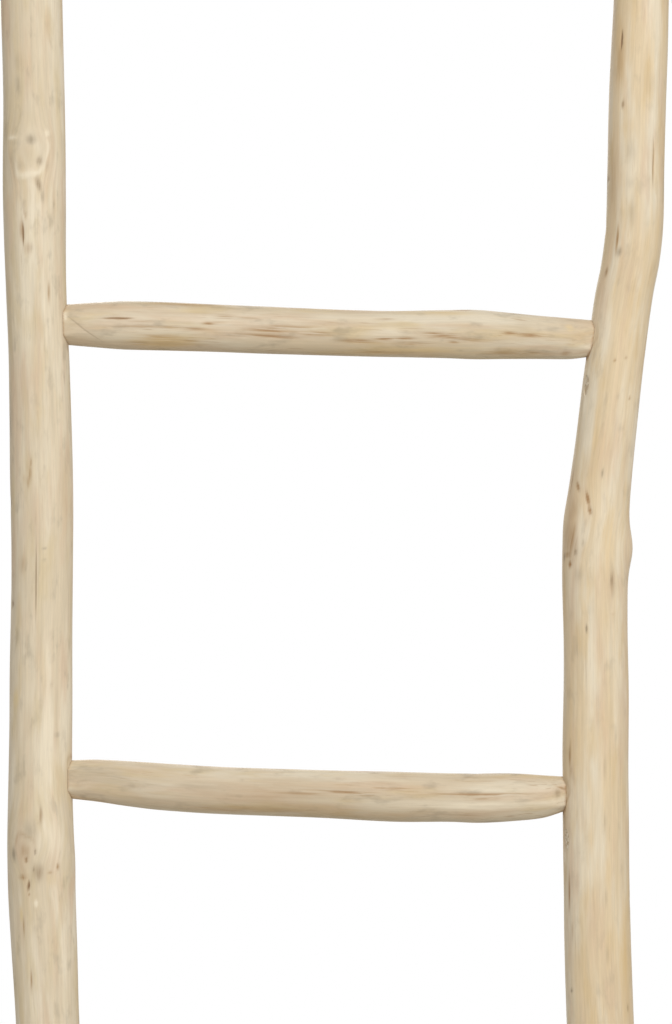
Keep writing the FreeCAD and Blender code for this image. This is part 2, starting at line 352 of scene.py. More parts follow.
rung_shapes = [
    {
        "drop": -5.0,
        "bend_up": [(0, 0), (0.25, 2), (0.6, 3.4), (0.85, 1.7), (1, 0)],
        "bend_back": [(0, 0), (0.4, 1.5), (0.8, -0.8), (1, 0)],
        "radius": [
            (0, 14.8), (0.09, 17.1), (0.35, 18.2), (0.6, 17.4), (0.85, 17.7), (0.95, 15.8), (1, 14.5),
        ],
    },
    {
        "drop": 7.0,
        "bend_up": [(0, 0), (0.3, -2.4), (0.55, -3.6), (0.8, -1.5), (1, 0)],
        "bend_back": [(0, 0), (0.3, -1.6), (0.7, 0.8), (1, 0)],
        "radius": [
            (0, 15.2), (0.08, 17), (0.3, 17.4), (0.5, 18.3), (0.75, 17.6), (0.92, 16.2), (1, 14.2),
        ],
    },
    {
        "drop": 10.8,
        "bend_up": [
            (0, 0), (0.05, -0.4), (0.11, -2), (0.18, -3.6), (0.31, -5.3), (0.5, -5.8), (0.66, -6.3),
            (0.77, -5.9), (0.83, -5.8), (0.9, -4.6), (0.96, -3.6), (1, -1.4),
        ],
        "bend_back": [(0, 0), (0.35, 1.2), (0.7, -1.4), (1, 0)],
        "radius": [
            (0, 14.8), (0.05, 16), (0.11, 17), (0.18, 17.7), (0.5, 17.6), (0.66, 18.7),
            (0.77, 18.3), (0.83, 18.6), (0.9, 17.9), (0.96, 16.1), (1, 13.6),
        ],
    },
    {
        "drop": 11.2,
        "bend_up": [
            (0, 0.3), (0.12, 0.9), (0.3, 0.4), (0.45, -0.4), (0.6, -0.5), (0.78, 0.6), (0.96, -0.8),
            (1, -0.3),
        ],
        "bend_back": [(0, 0), (0.35, -1.4), (0.7, 1), (1, 0)],
        "radius": [
            (0, 15.6), (0.055, 16.9), (0.115, 18.1), (0.3, 17.7), (0.6, 17.2), (0.72, 18),
            (0.78, 18.6), (0.84, 17.6), (0.9, 16.5), (0.965, 15.5), (1, 14.3),
        ],
    },
    {
        "drop": -4.0,
        "bend_up": [(0, 0), (0.2, 1.6), (0.5, -0.6), (0.75, -2.2), (1, 0)],
        "bend_back": [(0, 0), (0.4, 1.3), (1, 0)],
        "radius": [
            (0, 14.2), (0.07, 15.8), (0.25, 16.8), (0.55, 17.4), (0.8, 16.7), (0.94, 15.4), (1, 14.4),
        ],
    },
]
print("rungs:", len(rung_shapes))

# %% Where a stile's middle and skin are
def stile_middle(stile, height):
    """Middle of a stile at each height, as x, y, z."""
    height = np.asarray(height, dtype=float)
    right = stile["line_x"] + smooth_value(stile["bend_right"], height)
    back = smooth_value(stile["bend_back"], height)
    return np.stack([right, back, height], axis=-1)


def side_distance(side, angle, radius):
    """How far round the branch an angle lies from a side, along the skin."""
    return np.radians((angle - side + 180) % 360 - 180) * radius


def stile_radius(stile, height, angle):
    """Radius of a stile at each height, seen from its middle towards each angle."""
    radius = smooth_value(stile["radius"], height)
    lift = 0.0
    for knot_height, knot_side, rise, spread in stile["knots"]:
        distance = np.hypot(height - knot_height, side_distance(knot_side, angle, radius))
        lift = lift + rise * np.exp(-((distance / spread) ** 2))
    oval = 1 + oval_share * np.cos(np.radians(2 * angle + 360 * height / oval_twist_length))
    return radius * oval + lift


def stile_point(stile, height, angle):
    """Point on a stile's skin at a height, towards an angle."""
    turn = math.radians(angle)
    reach = stile_radius(stile, height, angle)
    return stile_middle(stile, height) + reach * np.array([math.cos(turn), math.sin(turn), 0.0])


for side, stile in stiles.items():
    print(side, "stile's foot is", 2 * float(smooth_value(stile["radius"], 0)), "mm thick")

# %% [markdown]
# ## The joints
#
# Each rung ends in a round tenon that sits in a blind mortise of the stile. A slanted screw under the
# joint runs up into the tenon, and wood filler closes its pocket. It would be easier to push plain
# branches into each other. The finished branches get the same joints as the solids, so that nothing
# runs through anything else when the ladder comes apart.

# %% Work out each joint
tenon_radius = 11.0
tenon_depth = 30.0
tenon_clearance = 0.1
mortise_end_clearance = 0.5
shoulder_gap = 0.2
screw_hole_radius = 2.1
screw_hole_length = 38.1
screw_drop_below_rung = 20.0
screw_aim_depth = 14.0
pocket_radius = 3.0
pocket_depth = 10.0


class Joint:
    """Where one rung meets one stile: the tenon's axis, and the way that the locking screw goes."""

    def __init__(self, stile, height, far_middle, rung_radius):
        self.stile = stile
        self.middle = stile_middle(stile, height)
        way = far_middle - self.middle
        self.outward = way / np.linalg.norm(way)
        self.surface = self.middle + self.outward * stile_radius(stile, height, stile["inner_side"])
        entry_height = height - rung_radius - screw_drop_below_rung
        self.entry = stile_point(stile, entry_height, stile["screw_side"])
        way = self.surface - self.outward * screw_aim_depth - self.entry
        self.screw_way = way / np.linalg.norm(way)
        self.seat = self.entry + self.screw_way * pocket_depth

    def shoulder_x(self, y, z):
        """Where the rung's shoulder lies along X, a hair clear of the stile's skin."""
        middle = stile_middle(self.stile, z)
        turn = np.degrees(np.arcsin((y - middle[..., 1]) / smooth_value(self.stile["radius"], z)))
        inner_left = self.stile["inner_side"] == 0.0
        radius = stile_radius(self.stile, z, turn if inner_left else 180.0 - turn) + shoulder_gap
        reach = np.sqrt(radius**2 - (y - middle[..., 1]) ** 2)
        return middle[..., 0] + (reach if inner_left else -reach)


def joints_of_rung(number):
    """The left and right joints of one rung, counted from 0 at the bottom."""
    rung = rung_shapes[number]
    height = first_rung_height + number * rung_pitch
    heights = (height + rung["drop"] / 2, height - rung["drop"] / 2)
    middles = [stile_middle(stile, at) for stile, at in zip((left_stile, right_stile), heights)]
    left = Joint(left_stile, heights[0], middles[1], rung["radius"][0][1])
    right = Joint(right_stile, heights[1], middles[0], rung["radius"][-1][1])
    return left, right


joints = [joints_of_rung(number) for number in range(len(rung_shapes))]
print("rung 4 is", round(float(joints[3][1].surface[0] - joints[3][0].surface[0])), "mm between the stiles")

# %% [markdown]
# ## Marks of the wood
#
# A peeled branch is never plain. Twigs left knots and pits, drying opened fine cracks along the grain,
# and the peeling knife left scars and dents. Each mark here is a soft oval on the skin: where it is,
# how long and wide, how deep, and how much it stains the wood. Those that the picture shows are listed
# one by one. The sides and lengths that it doesn't show get marks of the same kinds, strewn from a seed.
# A painted image could hold them too, but ovals stay crisp when the camera comes close.

# %% What a mark is
# The brown and dark stains hold real stains and also the painted shade where each rung meets its stiles.
stain_names = ["brown", "dark", "grey", "pale", "honey", "streak"]
oval_wave = 0.12
ripple_wave = 0.07
ring_fade = 0.45


def mark(place, side, along, around, depth=0.0, tilt=0.0, ring=0.0, **stains):
    """One mark: its place along the branch and the side it faces, its half size, its depth and stains.

    A mark with a ring is an oval line of that share of its size, and not a filled oval.
    """
    return {"place": place, "side": side, "along": along, "around": around, "depth": depth,
            "tilt": math.radians(tilt), "ring": ring, "stains": stains}


def mark_steps(item, place, angle, radius):
    """How many of a mark's half sizes each point of the skin lies from it, along and around."""
    along = place - item["place"]
    around = side_distance(item["side"], angle, radius)
    long_way = along * math.cos(item["tilt"]) + around * math.sin(item["tilt"])
    short_way = around * math.cos(item["tilt"]) - along * math.sin(item["tilt"])
    return long_way / item["along"], short_way / item["around"]


def mark_strength(item, place, angle, radius):
    """How strongly a mark shows at each point of the skin, from 0 to 1."""
    steps = np.hypot(*mark_steps(item, place, angle, radius))
    if not item["ring"]:
        return np.exp(-(steps**2))
    turn = np.arctan2(*mark_steps(item, place, angle, radius))
    oval = oval_wave * np.sin(2 * turn + item["place"])
    ripple = ripple_wave * np.sin(5 * turn + item["side"])
    broken = 1 - ring_fade + ring_fade * np.sin(turn + item["place"])
    return broken * np.exp(-(((steps * (1 + oval + ripple) - 1) / item["ring"]) ** 2))


print("kinds of stain:", stain_names)

# %% The left stile's marks that the picture shows
left_stile["marks"] = [
    mark(1434, 243, 9, 5, grey=0.25),
    mark(1417, 243, 9, 4, grey=0.35),
    mark(1403, 324, 60, 6, honey=0.40),
    mark(1391, 265, 9, 7, honey=0.30, grey=0.10),
    mark(1366, 267, 16, 13, depth=-0.40, ring=0.17, pale=0.75),
    mark(1364, 265, 12, 10, grey=0.20, honey=0.30),
    mark(1376, 268, 4.4, 4.6, depth=0.7, grey=0.60, dark=0.06),
    mark(1360, 284, 4.2, 3.2, depth=0.9, grey=0.60, brown=0.25, dark=0.24),
    mark(1350, 262, 2.6, 10, depth=-0.4, pale=0.6),
    mark(1378, 231, 2.0, 5, depth=-0.3, pale=0.7),
    mark(1381, 297, 3.0, 3.0, depth=-0.3, pale=0.6),
    mark(1343, 281, 6, 2.2, depth=0.7, tilt=-14, grey=0.65, brown=0.30, dark=0.10),
    mark(1334, 288, 6, 1.4, depth=0.3, grey=0.6),
    mark(1321, 256, 4, 1.0, depth=0.3, tilt=-8, brown=0.6),
    mark(1306, 252, 7, 0.6, depth=0.8, brown=0.8, dark=0.38),
    mark(1309, 250, 10, 2.2, brown=0.5),
    mark(1295, 259, 6, 4, brown=0.35),
    mark(1296, 267, 4, 1.6, grey=0.3),
    mark(1263, 297, 9, 1.0, depth=0.4, brown=0.65),
    mark(1287, 286, 7, 1.0, brown=0.2),
    mark(1215, 265, 20, 5, honey=0.3),
    mark(1135, 253, 5, 0.9, depth=0.3, tilt=6, brown=0.6, dark=0.1),
    mark(1128, 252, 8, 1.3, brown=0.6),
    mark(1122, 247, 6, 1.4, brown=0.45),
    mark(1132, 246, 7, 1.0, brown=0.35),
    mark(1126, 250, 14, 4, honey=0.4),
    mark(1124, 242, 5, 3.4, brown=0.25, honey=0.3),
    mark(1142, 278, 8, 1.0, brown=0.22),
    mark(1060, 232, 9, 5, brown=0.3),
    mark(1047, 262, 23, 0.5, depth=0.6, brown=0.3, dark=0.35),
    mark(1072, 277, 1.3, 2.0, grey=0.5),
    mark(1063, 277, 1.3, 2.0, grey=0.45),
    mark(970, 294, 3, 1.0, depth=0.5, dark=0.4),
    mark(959, 219, 8, 3, honey=0.9),
    mark(938, 287, 75, 4.5, pale=0.65),
    mark(933, 305, 2.6, 2.6, grey=0.6),
    mark(873, 274, 8, 1.3, depth=0.5, grey=0.5, brown=0.5),
    mark(868, 270, 2.2, 2.2, brown=0.3),
    mark(862, 255, 9, 6, grey=0.5),
    mark(854, 299, 22, 8, pale=0.55, grey=0.10),
    mark(848, 246, 11, 9, ring=0.24, depth=-0.3, brown=0.32),
    mark(847, 246, 7, 5, brown=0.45),
    mark(840, 247, 2.0, 1.5, depth=0.8, brown=0.8, dark=0.3),
    mark(846, 264, 2.6, 1.0, depth=0.5, dark=0.5),
    mark(833, 260, 2.2, 1.0, depth=0.3, dark=0.4, grey=0.4),
    mark(831, 268, 8, 5, grey=0.6, brown=0.3),
    mark(844, 221, 5, 3, grey=0.7),
    mark(827, 239, 2.4, 4.0, depth=0.3, brown=0.6),
    mark(821, 250, 4.2, 1.2, depth=0.9, tilt=8, brown=0.7, dark=0.5),
    mark(814, 251, 1.2, 1.1, brown=0.6),
    mark(808, 263, 3, 2, pale=0.8),
    mark(835, 303, 3, 1.4, depth=0.4, brown=0.7),
    mark(831, 289, 1.7, 2.4, brown=0.5),
    mark(826, 291, 6, 5, honey=0.4),
    mark(799, 234, 6, 1.6, honey=0.9),
    mark(791, 238, 8, 1.1, brown=0.65),
    mark(751, 247, 9, 1.1, depth=0.3, tilt=3, brown=0.6),
]
print("marks on the left stile:", len(left_stile["marks"]))

# %% The right stile's marks that the picture shows
right_stile["marks"] = [
    mark(1451, 228, 6, 0.7, depth=1.0, dark=0.55, brown=0.5),
    mark(1438, 225, 30, 7, brown=0.34, honey=0.4),
    mark(1418, 289, 12, 6, grey=0.2, brown=0.12),
    mark(1403, 237, 3.4, 1.3, depth=0.4, grey=0.6, brown=0.5),
    mark(1369, 257, 11, 5, grey=0.36),
    mark(1344, 255, 6, 4, grey=0.30),
    mark(1321, 260, 14, 4, grey=0.36),
    mark(1357, 302, 14, 0.6, depth=0.6, brown=0.6, dark=0.1),
    mark(1348, 220, 40, 9, brown=0.30),
    mark(1303, 233, 11, 1.4, brown=0.75, honey=0.4),
    mark(1293, 240, 4, 3, grey=0.6, brown=0.2),
    mark(1278, 217, 4, 2, grey=0.5, brown=0.5),
    mark(1118, 221, 5, 1.8, depth=0.4, tilt=-35, brown=0.65),
    mark(1109, 247, 6, 1.5, depth=0.4, tilt=-20, brown=0.75),
    mark(1100, 254, 3.4, 1.4, depth=0.5, tilt=-25, brown=0.7, grey=0.4),
    mark(1099, 216, 12, 7, brown=0.36, grey=0.10),
    mark(1078, 218, 18, 9, brown=0.50, grey=0.10),
    mark(1087, 210, 2.6, 2.4, brown=0.4),
    mark(1069, 229, 2.6, 1.6, depth=0.5, grey=0.6, dark=0.3),
    mark(1067, 209, 2.2, 4.5, depth=0.4, brown=0.7),
    mark(1060, 215, 2.6, 2.4, depth=0.6, brown=0.8),
    mark(1065, 196, 4, 2.2, dark=0.5),
    mark(1076, 244, 3.4, 1.5, grey=0.5),
    mark(1052, 237, 7, 4, grey=0.5),
    mark(1084, 237, 18, 1.6, pale=0.9),
    mark(1048, 298, 5, 1.2, depth=0.4, grey=0.4, dark=0.45),
    mark(1047, 299, 11, 2.2, grey=0.45, brown=0.5),
    mark(1068, 293, 26, 5, honey=0.45),
    mark(1128, 269, 4, 1.0, depth=0.4, grey=0.6, dark=0.3),
    mark(1185, 281, 3.4, 1.8, grey=0.35),
    mark(1012, 251, 4, 1.0, depth=0.4, grey=0.6, dark=0.35),
    mark(1023, 301, 2, 3, brown=0.2),
    mark(917, 216, 10, 1.4, brown=0.75),
    mark(906, 219, 6, 3, brown=0.4),
    mark(815, 212, 16, 1.3, brown=0.8, dark=0.15),
    mark(786, 218, 10, 2.4, brown=0.4),
    mark(762, 320, 50, 8, honey=0.6, brown=0.15),
    mark(742, 213, 2.0, 1.5, dark=0.6),
    mark(729, 325, 3.5, 1.4, dark=0.55),
    mark(1179, 210, 8, 2.4, pale=1.0),
    mark(841, 198, 8, 2.2, pale=1.0),
]
right_stile["marks"] += [
    mark(height, side, 1.6, 1.3, brown=0.5)
    for height, side in ((1184, 306), (1214, 287), (1212, 266))
]
right_stile["marks"] += [
    mark(height, 284, 9, 1.0, depth=0.2, grey=0.45, brown=0.2) for height in (909, 869, 812, 770)
]
print("marks on the right stile:", len(right_stile["marks"]))

# %% The rungs' marks that the picture shows
for rung in rung_shapes:
    rung["marks"] = []
upper_streaks = [
    (40, 166, 11, 1.0, 1), (57, 170, 8, 0.9, 0.7), (57, 184, 22, 0.9, 0.55),
    (80, 184, 13, 0.9, 0.6), (93, 186, 10, 1.1, 0.9), (106, 172, 4, 1.2, 0.9),
    (70, 210, 15, 2.2, 0.9), (55, 228, 10, 1.8, 0.8), (76, 229, 18, 1.5, 0.8),
    (90, 218, 9, 2.4, 0.9), (84, 112, 22, 1.6, 0.8), (118, 150, 7, 1.1, 0.7),
    (134, 153, 9, 0.9, 0.4), (167, 172, 28, 1.6, 0.6), (154, 182, 19, 1.6, 0.95),
    (151, 197, 22, 1.8, 0.9), (187, 186, 13, 1.5, 1), (218, 202, 12, 1.5, 1),
    (238, 195, 8, 1.3, 1), (252, 193, 8, 1.3, 1), (261, 206, 11, 1.3, 0.9),
    (272, 181, 9, 1.3, 1), (283, 188, 12, 1.5, 1), (289, 201, 4, 1.0, 0.8),
    (301, 195, 12, 1.6, 0.6), (331, 175, 6, 1.2, 1), (346, 177, 11, 1.5, 1),
    (296, 105, 7, 1.1, 0.8), (238, 142, 7, 0.9, 0.5), (234, 236, 18, 1.6, 0.8),
    (338, 230, 24, 2.0, 0.9),
]
rung_shapes[3]["marks"] = [
    mark(place, side, along, around, depth=0.2, streak=share, brown=0.30 * share)
    for place, side, along, around, share in upper_streaks
]
rung_shapes[3]["marks"] += [
    mark(39, 165, 8, 0.6, depth=0.4, brown=0.6, dark=0.30),
    mark(15, 191, 12, 0.5, depth=0.5, tilt=42, grey=0.45, brown=0.2),
    mark(0, 156, 4, 4, pale=1.0),
    mark(255, 228, 90, 7, honey=0.45),
    mark(110, 225, 60, 6, grey=0.15),
    mark(72, 222, 28, 7, brown=0.30, honey=0.60),
    mark(165, 190, 32, 4, brown=0.18),
    mark(232, 212, 40, 7, brown=0.18),
    mark(84, 114, 30, 4, honey=0.3, brown=0.35),
    mark(283, 122, 26, 4, honey=0.5, brown=0.15),
    mark(340, 157, 14, 8, grey=0.25),
    mark(335, 226, 28, 6, brown=0.22, honey=0.35),
    mark(373, 150, 3, 4, honey=0.5),
    mark(372, 228, 4, 3, brown=0.5),
]
rung_shapes[2]["marks"] = [
    mark(204, 171, 24, 1.0, depth=0.3, streak=1.0, brown=0.35, dark=0.18),
    mark(172, 178, 20, 0.9, streak=0.7, brown=0.15),
    mark(306, 169, 38, 1.1, depth=0.3, streak=0.9, brown=0.30),
    mark(310, 180, 12, 1.1, streak=0.8, brown=0.2),
    mark(28, 159, 28, 9, grey=0.50),
    mark(94, 172, 35, 6, grey=0.40),
    mark(55, 172, 55, 12, grey=0.32),
    mark(145, 172, 65, 13, brown=0.26, grey=0.17),
    mark(340, 172, 24, 8, pale=0.25),
    mark(190, 200, 200, 22, grey=0.20),
    mark(139, 227, 66, 5, brown=0.38, honey=0.30),
    mark(300, 196, 64, 4, pale=0.6),
    mark(360, 172, 3, 4, grey=0.6, brown=0.3),
    mark(364, 156, 6, 1.2, depth=0.4, tilt=20, brown=0.5),
    mark(190, 225, 130, 8, brown=0.22, honey=0.25),
    mark(60, 215, 40, 6, grey=0.25),
]
print("streaks on the upper rung of the picture:", len(upper_streaks))

# %% Paint shade where each rung meets its stiles
all_round = 200.0
seam_shade_half_length = 1.3
shadow_half_width = 14
shadow_ring = 0.14
for rung, pair in zip(rung_shapes, joints):
    span = pair[1].surface[0] - pair[0].surface[0]
    for joint, place, (_, rung_radius) in zip(pair, (0, span), (rung["radius"][0], rung["radius"][-1])):
        # Painted shade: a thin brown line all round each rung's end, where the seam at its shoulder lies in
        # shade.
        rung["marks"].append(mark(place, 180, seam_shade_half_length, all_round, brown=0.45, dark=0.08))
        # Painted shadow: a brown ring on the stile round each joint, where the rung shades it.
        joint.stile["marks"].append(mark(
            joint.middle[2], joint.stile["inner_side"], rung_radius + 1, shadow_half_width,
            ring=shadow_ring, brown=0.6))
print("darkened joints:", 2 * len(joints))

# %% Strew marks where the picture shows none
strewn_seed = 47
strewn = np.random.default_rng(strewn_seed)
strewn_stretch = (0.02, 0.98)
strewn_sizes = (0.7, 1.3)
strewn_on_stile = 70
strewn_on_seen_rung = 16
strewn_on_hidden_rung = 34
kinds_drawn = ["streak", "streak", "crack", "pit", "smudge", "honey"]
strewn_kinds = {
    "streak": {"along": 11, "around": 1.3, "depth": 0.2, "streak": 0.8, "brown": 0.25},
    "crack": {"along": 16, "around": 1.0, "depth": 0.8, "brown": 0.45, "dark": 0.3},
    "pit": {"along": 3.6, "around": 2.8, "depth": 0.9, "brown": 0.5, "dark": 0.35},
    "smudge": {"along": 16, "around": 6, "grey": 0.35, "brown": 0.15},
    "honey": {"along": 18, "around": 6, "honey": 0.4},
}
wide_kinds = ("pit", "smudge", "honey")
all_sides = (0, 360)
hidden_rung_sides = (-80, 110)
picture_heights = (716, 1482)
picture_sides = (200, 340)
rungs_in_picture = (2, 3)
rung_length = 380


def strewn_marks(count, length, sides, seen=None):
    """Marks of the usual kinds at random places, kept off the stretch that the picture shows."""
    found = []
    while len(found) < count:
        place = strewn.uniform(*strewn_stretch) * length
        side = strewn.uniform(*sides)
        if seen and seen[0] < place < seen[1] and picture_sides[0] < side % 360 < picture_sides[1]:
            continue
        kind = strewn.choice(kinds_drawn)
        size = strewn.uniform(*strewn_sizes)
        values = dict(strewn_kinds[kind])
        values["along"] *= size
        if kind in wide_kinds:
            values["around"] *= size
        found.append(mark(place, side, **values))
    return found


for stile in stiles.values():
    stile["marks"] += strewn_marks(strewn_on_stile, ladder_height, all_sides, seen=picture_heights)
for number, rung in enumerate(rung_shapes):
    if number in rungs_in_picture:
        rung["marks"] += strewn_marks(strewn_on_seen_rung, rung_length, hidden_rung_sides)
    else:
        rung["marks"] += strewn_marks(strewn_on_hidden_rung, rung_length, all_sides)
print("marks in all:", sum(len(branch["marks"]) for branch in [*stiles.values(), *rung_shapes]))

# %% [markdown]
# ## Building a branch
#
# Every branch starts as the same thing: a tube of even rows. A circle is extruded once and its long
# edges are cut into as many rows as the detail needs. Each vertex is then put where the tables say,
# moved in or out by the relief of its skin. A tube keeps its faces in neat rows along the grain, which
# a remeshed or sculpted lump would not.

# %% A tube of rows
def tube(around, rows):
    """A tube that stands from 0 to 1, with the rows and the vertices round each row evenly spaced."""
    shape = bmesh.new()
    bmesh.ops.create_circle(shape, segments=around, radius=1.0, cap_ends=False)
    made = bmesh.ops.extrude_edge_only(shape, edges=shape.edges[:])["geom"]
    top = [item for item in made if isinstance(item, bmesh.types.BMVert)]
    bmesh.ops.translate(shape, verts=top, vec=(0, 0, 1))
    upright = [edge for edge in shape.edges if edge.verts[0].co.z != edge.verts[1].co.z]
    bmesh.ops.subdivide_edges(shape, edges=upright, cuts=rows - 2, use_grid_fill=True)
    return shape


def shares_and_angles(shape):
    """How far along the tube each vertex is, from 0 to 1, and its angle round it in degrees."""
    points = np.array([vertex.co for vertex in shape.verts])
    return points[:, 2].astype(float), np.degrees(np.arctan2(points[:, 1], points[:, 0]))


def put_vertices(shape, points):
    """Move every vertex to its point, given in millimetres."""
    for vertex, point in zip(shape.verts, points * mm):
        vertex.co = point


small_tube = tube(6, 4)
print("a tube of 4 rows of 6 vertices has", len(small_tube.faces), "faces")
small_tube.free()

# %% [markdown]
# ## The relief of a peeled skin
#
# A knife takes bark off in long strokes, so a peeled branch has low flats, soft flutes and fine ribs
# that all run along it. A displacement modifier could add them, but then the joints' surfaces would
# move too. Here three layers of smooth noise are added to the radius before the vertices are put in
# place, and they fade out where a rung or a filler has to meet the skin.

# %% Flats, flutes, ribs and marks
relief_layers = {
    "flats": (0.6, (34, 34, 110), 0),
    "flutes": (0.24, (13, 13, 70), 17),
    "ribs": (0.10, (5, 5, 34), 31),
}


def smooth_humps(skin, size, seed):
    """Smooth noise from -1 to 1 on the skin, with humps of a size across, across and along."""
    steps = skin / np.array(size) + seed
    return np.array([noise.noise(Vector(step)) for step in steps])


def peeled_relief(skin, seed):
    """Sum of the layers of a peeled and sanded skin, in millimetres."""
    return sum(rise * smooth_humps(skin, size, seed + own) for rise, size, own in relief_layers.values())


def marks_relief(marks, place, angle, radius):
    """How far the marks sink the skin, in millimetres. A negative depth is a ridge."""
    sunk = np.zeros_like(place)
    for item in marks:
        if item["depth"]:
            sunk += item["depth"] * mark_strength(item, place, angle, radius)
    return sunk


print("the relief may rise", round(sum(rise for rise, _, _ in relief_layers.values()), 2), "mm at most")

# %% Keep the skin true where a rung or a filler meets it
shoulder_calm = 22.0
pocket_calm = 6.0


def calm_near(points, centre, reach):
    """0 close to a centre and 1 well away from it."""
    distance = np.linalg.norm(points - centre, axis=1)
    return 1 - np.exp(-((distance / reach) ** 4))


def stile_skin(stile, side_joints, height, angle, seed):
    """Points of a stile's finished skin at each height and angle."""
    turn = np.radians(angle)
    way = np.stack([np.cos(turn), np.sin(turn), np.zeros_like(turn)], axis=1)
    radius = stile_radius(stile, height, angle)
    middle = stile_middle(stile, height)
    plain = middle + way * radius[:, None]
    skin = way * radius[:, None] + np.stack([0 * height, 0 * height, height], axis=1)
    relief = peeled_relief(skin, seed) - marks_relief(stile["marks"], height, angle, radius)
    for joint in side_joints:
        relief *= calm_near(plain, joint.surface, shoulder_calm)
        relief *= calm_near(plain, joint.entry, pocket_calm)
    return plain + way * relief[:, None]


print("the skin is calm within", shoulder_calm, "mm of a rung and", pocket_calm, "mm of a filler")

# %% [markdown]
# ## Cutting the joints
#
# The maker drilled the mortises, screw holes and pockets, so they are plain round holes. They could be
# modelled face by face, but a Boolean modifier with a round cutter makes the same clean rim at once. It
# is applied straight away, and one cut follows the other.

# %% Cut away round cutters
def cylinder(shape, start, way, length, radius, segments):
    """Add a closed cylinder from a start point along a way, in millimetres."""
    turn = Vector(way).to_track_quat("Z", "Y").to_matrix().to_4x4()
    centre = Vector(start) + Vector(way) * (length / 2)
    bmesh.ops.create_cone(shape, cap_ends=True, segments=segments, radius1=radius * mm,
                          radius2=radius * mm, depth=length * mm,
                          matrix=Matrix.Translation(centre * mm) @ turn)


def new_object(name, shape):
    """A linked object made from a bmesh, which is freed."""
    mesh = bpy.data.meshes.new(name)
    shape.to_mesh(mesh)
    shape.free()
    made = bpy.data.objects.new(name, mesh)
    bpy.context.scene.collection.objects.link(made)
    return made


def cut_away(piece, cutters):
    """Take each cutter away from a piece, one after the other so that they may cross."""
    for number, (start, way, length, radius, segments) in enumerate(cutters):
        shape = bmesh.new()
        cylinder(shape, start, way, length, radius, segments)
        cutter = new_object(f"cutter_{number}", shape)
        modifier = piece.modifiers.new("cut", "BOOLEAN")
        modifier.operation = "DIFFERENCE"
        modifier.solver = "MANIFOLD"
        modifier.object = cutter
        evaluated = piece.evaluated_get(bpy.context.evaluated_depsgraph_get())
        cut = bpy.data.meshes.new_from_object(evaluated)
        piece.modifiers.clear()
        plain, piece.data = piece.data, cut
        bpy.data.meshes.remove(plain)
        bpy.data.meshes.remove(cutter.data)


trial = new_object("trial", tube(6, 4))
print("a trial object has", len(trial.data.vertices), "vertices")
bpy.data.meshes.remove(trial.data)

# %% The three kinds of hole
hole_segments = 24
mortise_segments = 72
pocket_segments = 32
cutter_overhang = 15.0


def screw_hole(joint):
    """The cutter for the hole that the screw's thread runs in."""
    return (joint.seat, joint.screw_way, screw_hole_length, screw_hole_radius, hole_segments)


def mortise(joint):
    """The cutter for the blind mortise."""
    length = cutter_overhang + tenon_depth + mortise_end_clearance
    start = joint.surface + joint.outward * cutter_overhang
    return (start, -joint.outward, length, tenon_radius + tenon_clearance, mortise_segments)


def pocket(joint):
    """The cutter for the slanted pocket that sinks the screw's head."""
    start = joint.seat - joint.screw_way * 2 * pocket_depth
    return (start, joint.screw_way, 2 * pocket_depth, pocket_radius, pocket_segments)


print("holes to cut in each stile:", 3 * len(joints))

# %% [markdown]
# ## Painting the finished mesh
#
# The finish has to know where each point lies in its own branch, and which marks stain it. Vertex paint
# would hold this for a small piece, but these values come straight from the tables, so a script stores
# them as attributes, one value for each vertex. They are worked out after the holes are cut, so that
# the new vertices have them too. Knife-sharp rims are marked sharp, and the rest stays smooth.

# %% Store values for each vertex
sharp_angle = math.radians(38)


def mesh_points(mesh):
    """Every vertex of a mesh, in millimetres."""
    flat = np.empty(len(mesh.vertices) * 3)
    mesh.vertices.foreach_get("co", flat)
    return flat.reshape(-1, 3) / mm


def store(mesh, name, values):
    """Store one value or one vector for each vertex."""
    kind, field = ("FLOAT_VECTOR", "vector") if values.ndim == 2 else ("FLOAT", "value")
    mesh.attributes.new(name, kind, "POINT").data.foreach_set(field, values.ravel())


def smooth_shading(mesh):
    """Shade a mesh smooth, apart from edges that turn sharply."""
    mesh.shade_smooth()
    mesh.set_sharp_from_angle(angle=sharp_angle)


print("edges that turn more than", round(math.degrees(sharp_angle)), "degrees stay sharp")

# %% Store the place and the stains
finest_broad = 0.75
fine_reach = 3.0
fine_reach_along = 3.5
far_off = 40.0
fine_stains = ["brown", "dark", "grey"]
seeds_per_metre = 50


def paint(mesh, place, angle, radius, across, marks, seed):
    """Store where each vertex is on its own branch, and what stains it.

    Each branch starts further along one endless log, so that no two have the same grain.
    A broad mark is stored as its strength. A fine mark is thinner than the mesh's rows, so the
    vertices round it store how far off they are, and the material draws its crisp edge between them.
    """
    store(mesh, "log_place", np.column_stack([across, place]) * mm + (0, 0, seed / seeds_per_metre))
    broad = {name: np.zeros_like(place) for name in stain_names}
    nearest = np.full_like(place, far_off)
    steps = np.full((len(place), 3), far_off)
    tints = np.zeros((len(place), 3))
    for item in marks:
        if item["around"] > finest_broad or item["ring"]:
            strength = mark_strength(item, place, angle, radius)
            for name, share in item["stains"].items():
                broad[name] = np.maximum(broad[name], share * strength)
            continue
        along, around = mark_steps(item, place, angle, radius)
        near = (np.abs(along) < fine_reach_along) & (np.abs(around) * item["around"] < fine_reach)
        closer = near & (np.hypot(along, around) < nearest)
        nearest = np.where(closer, np.hypot(along, around), nearest)
        steps[closer] = np.column_stack([along, around, 0 * along])[closer]
        tints[closer] = [item["stains"].get(name, 0.0) for name in fine_stains]
    for name, values in broad.items():
        store(mesh, f"{name}_stain", values)
    store(mesh, "fine_steps", steps)
    store(mesh, "fine_tints", tints)


print("marks of half a width up to", finest_broad, "mm are drawn fine")

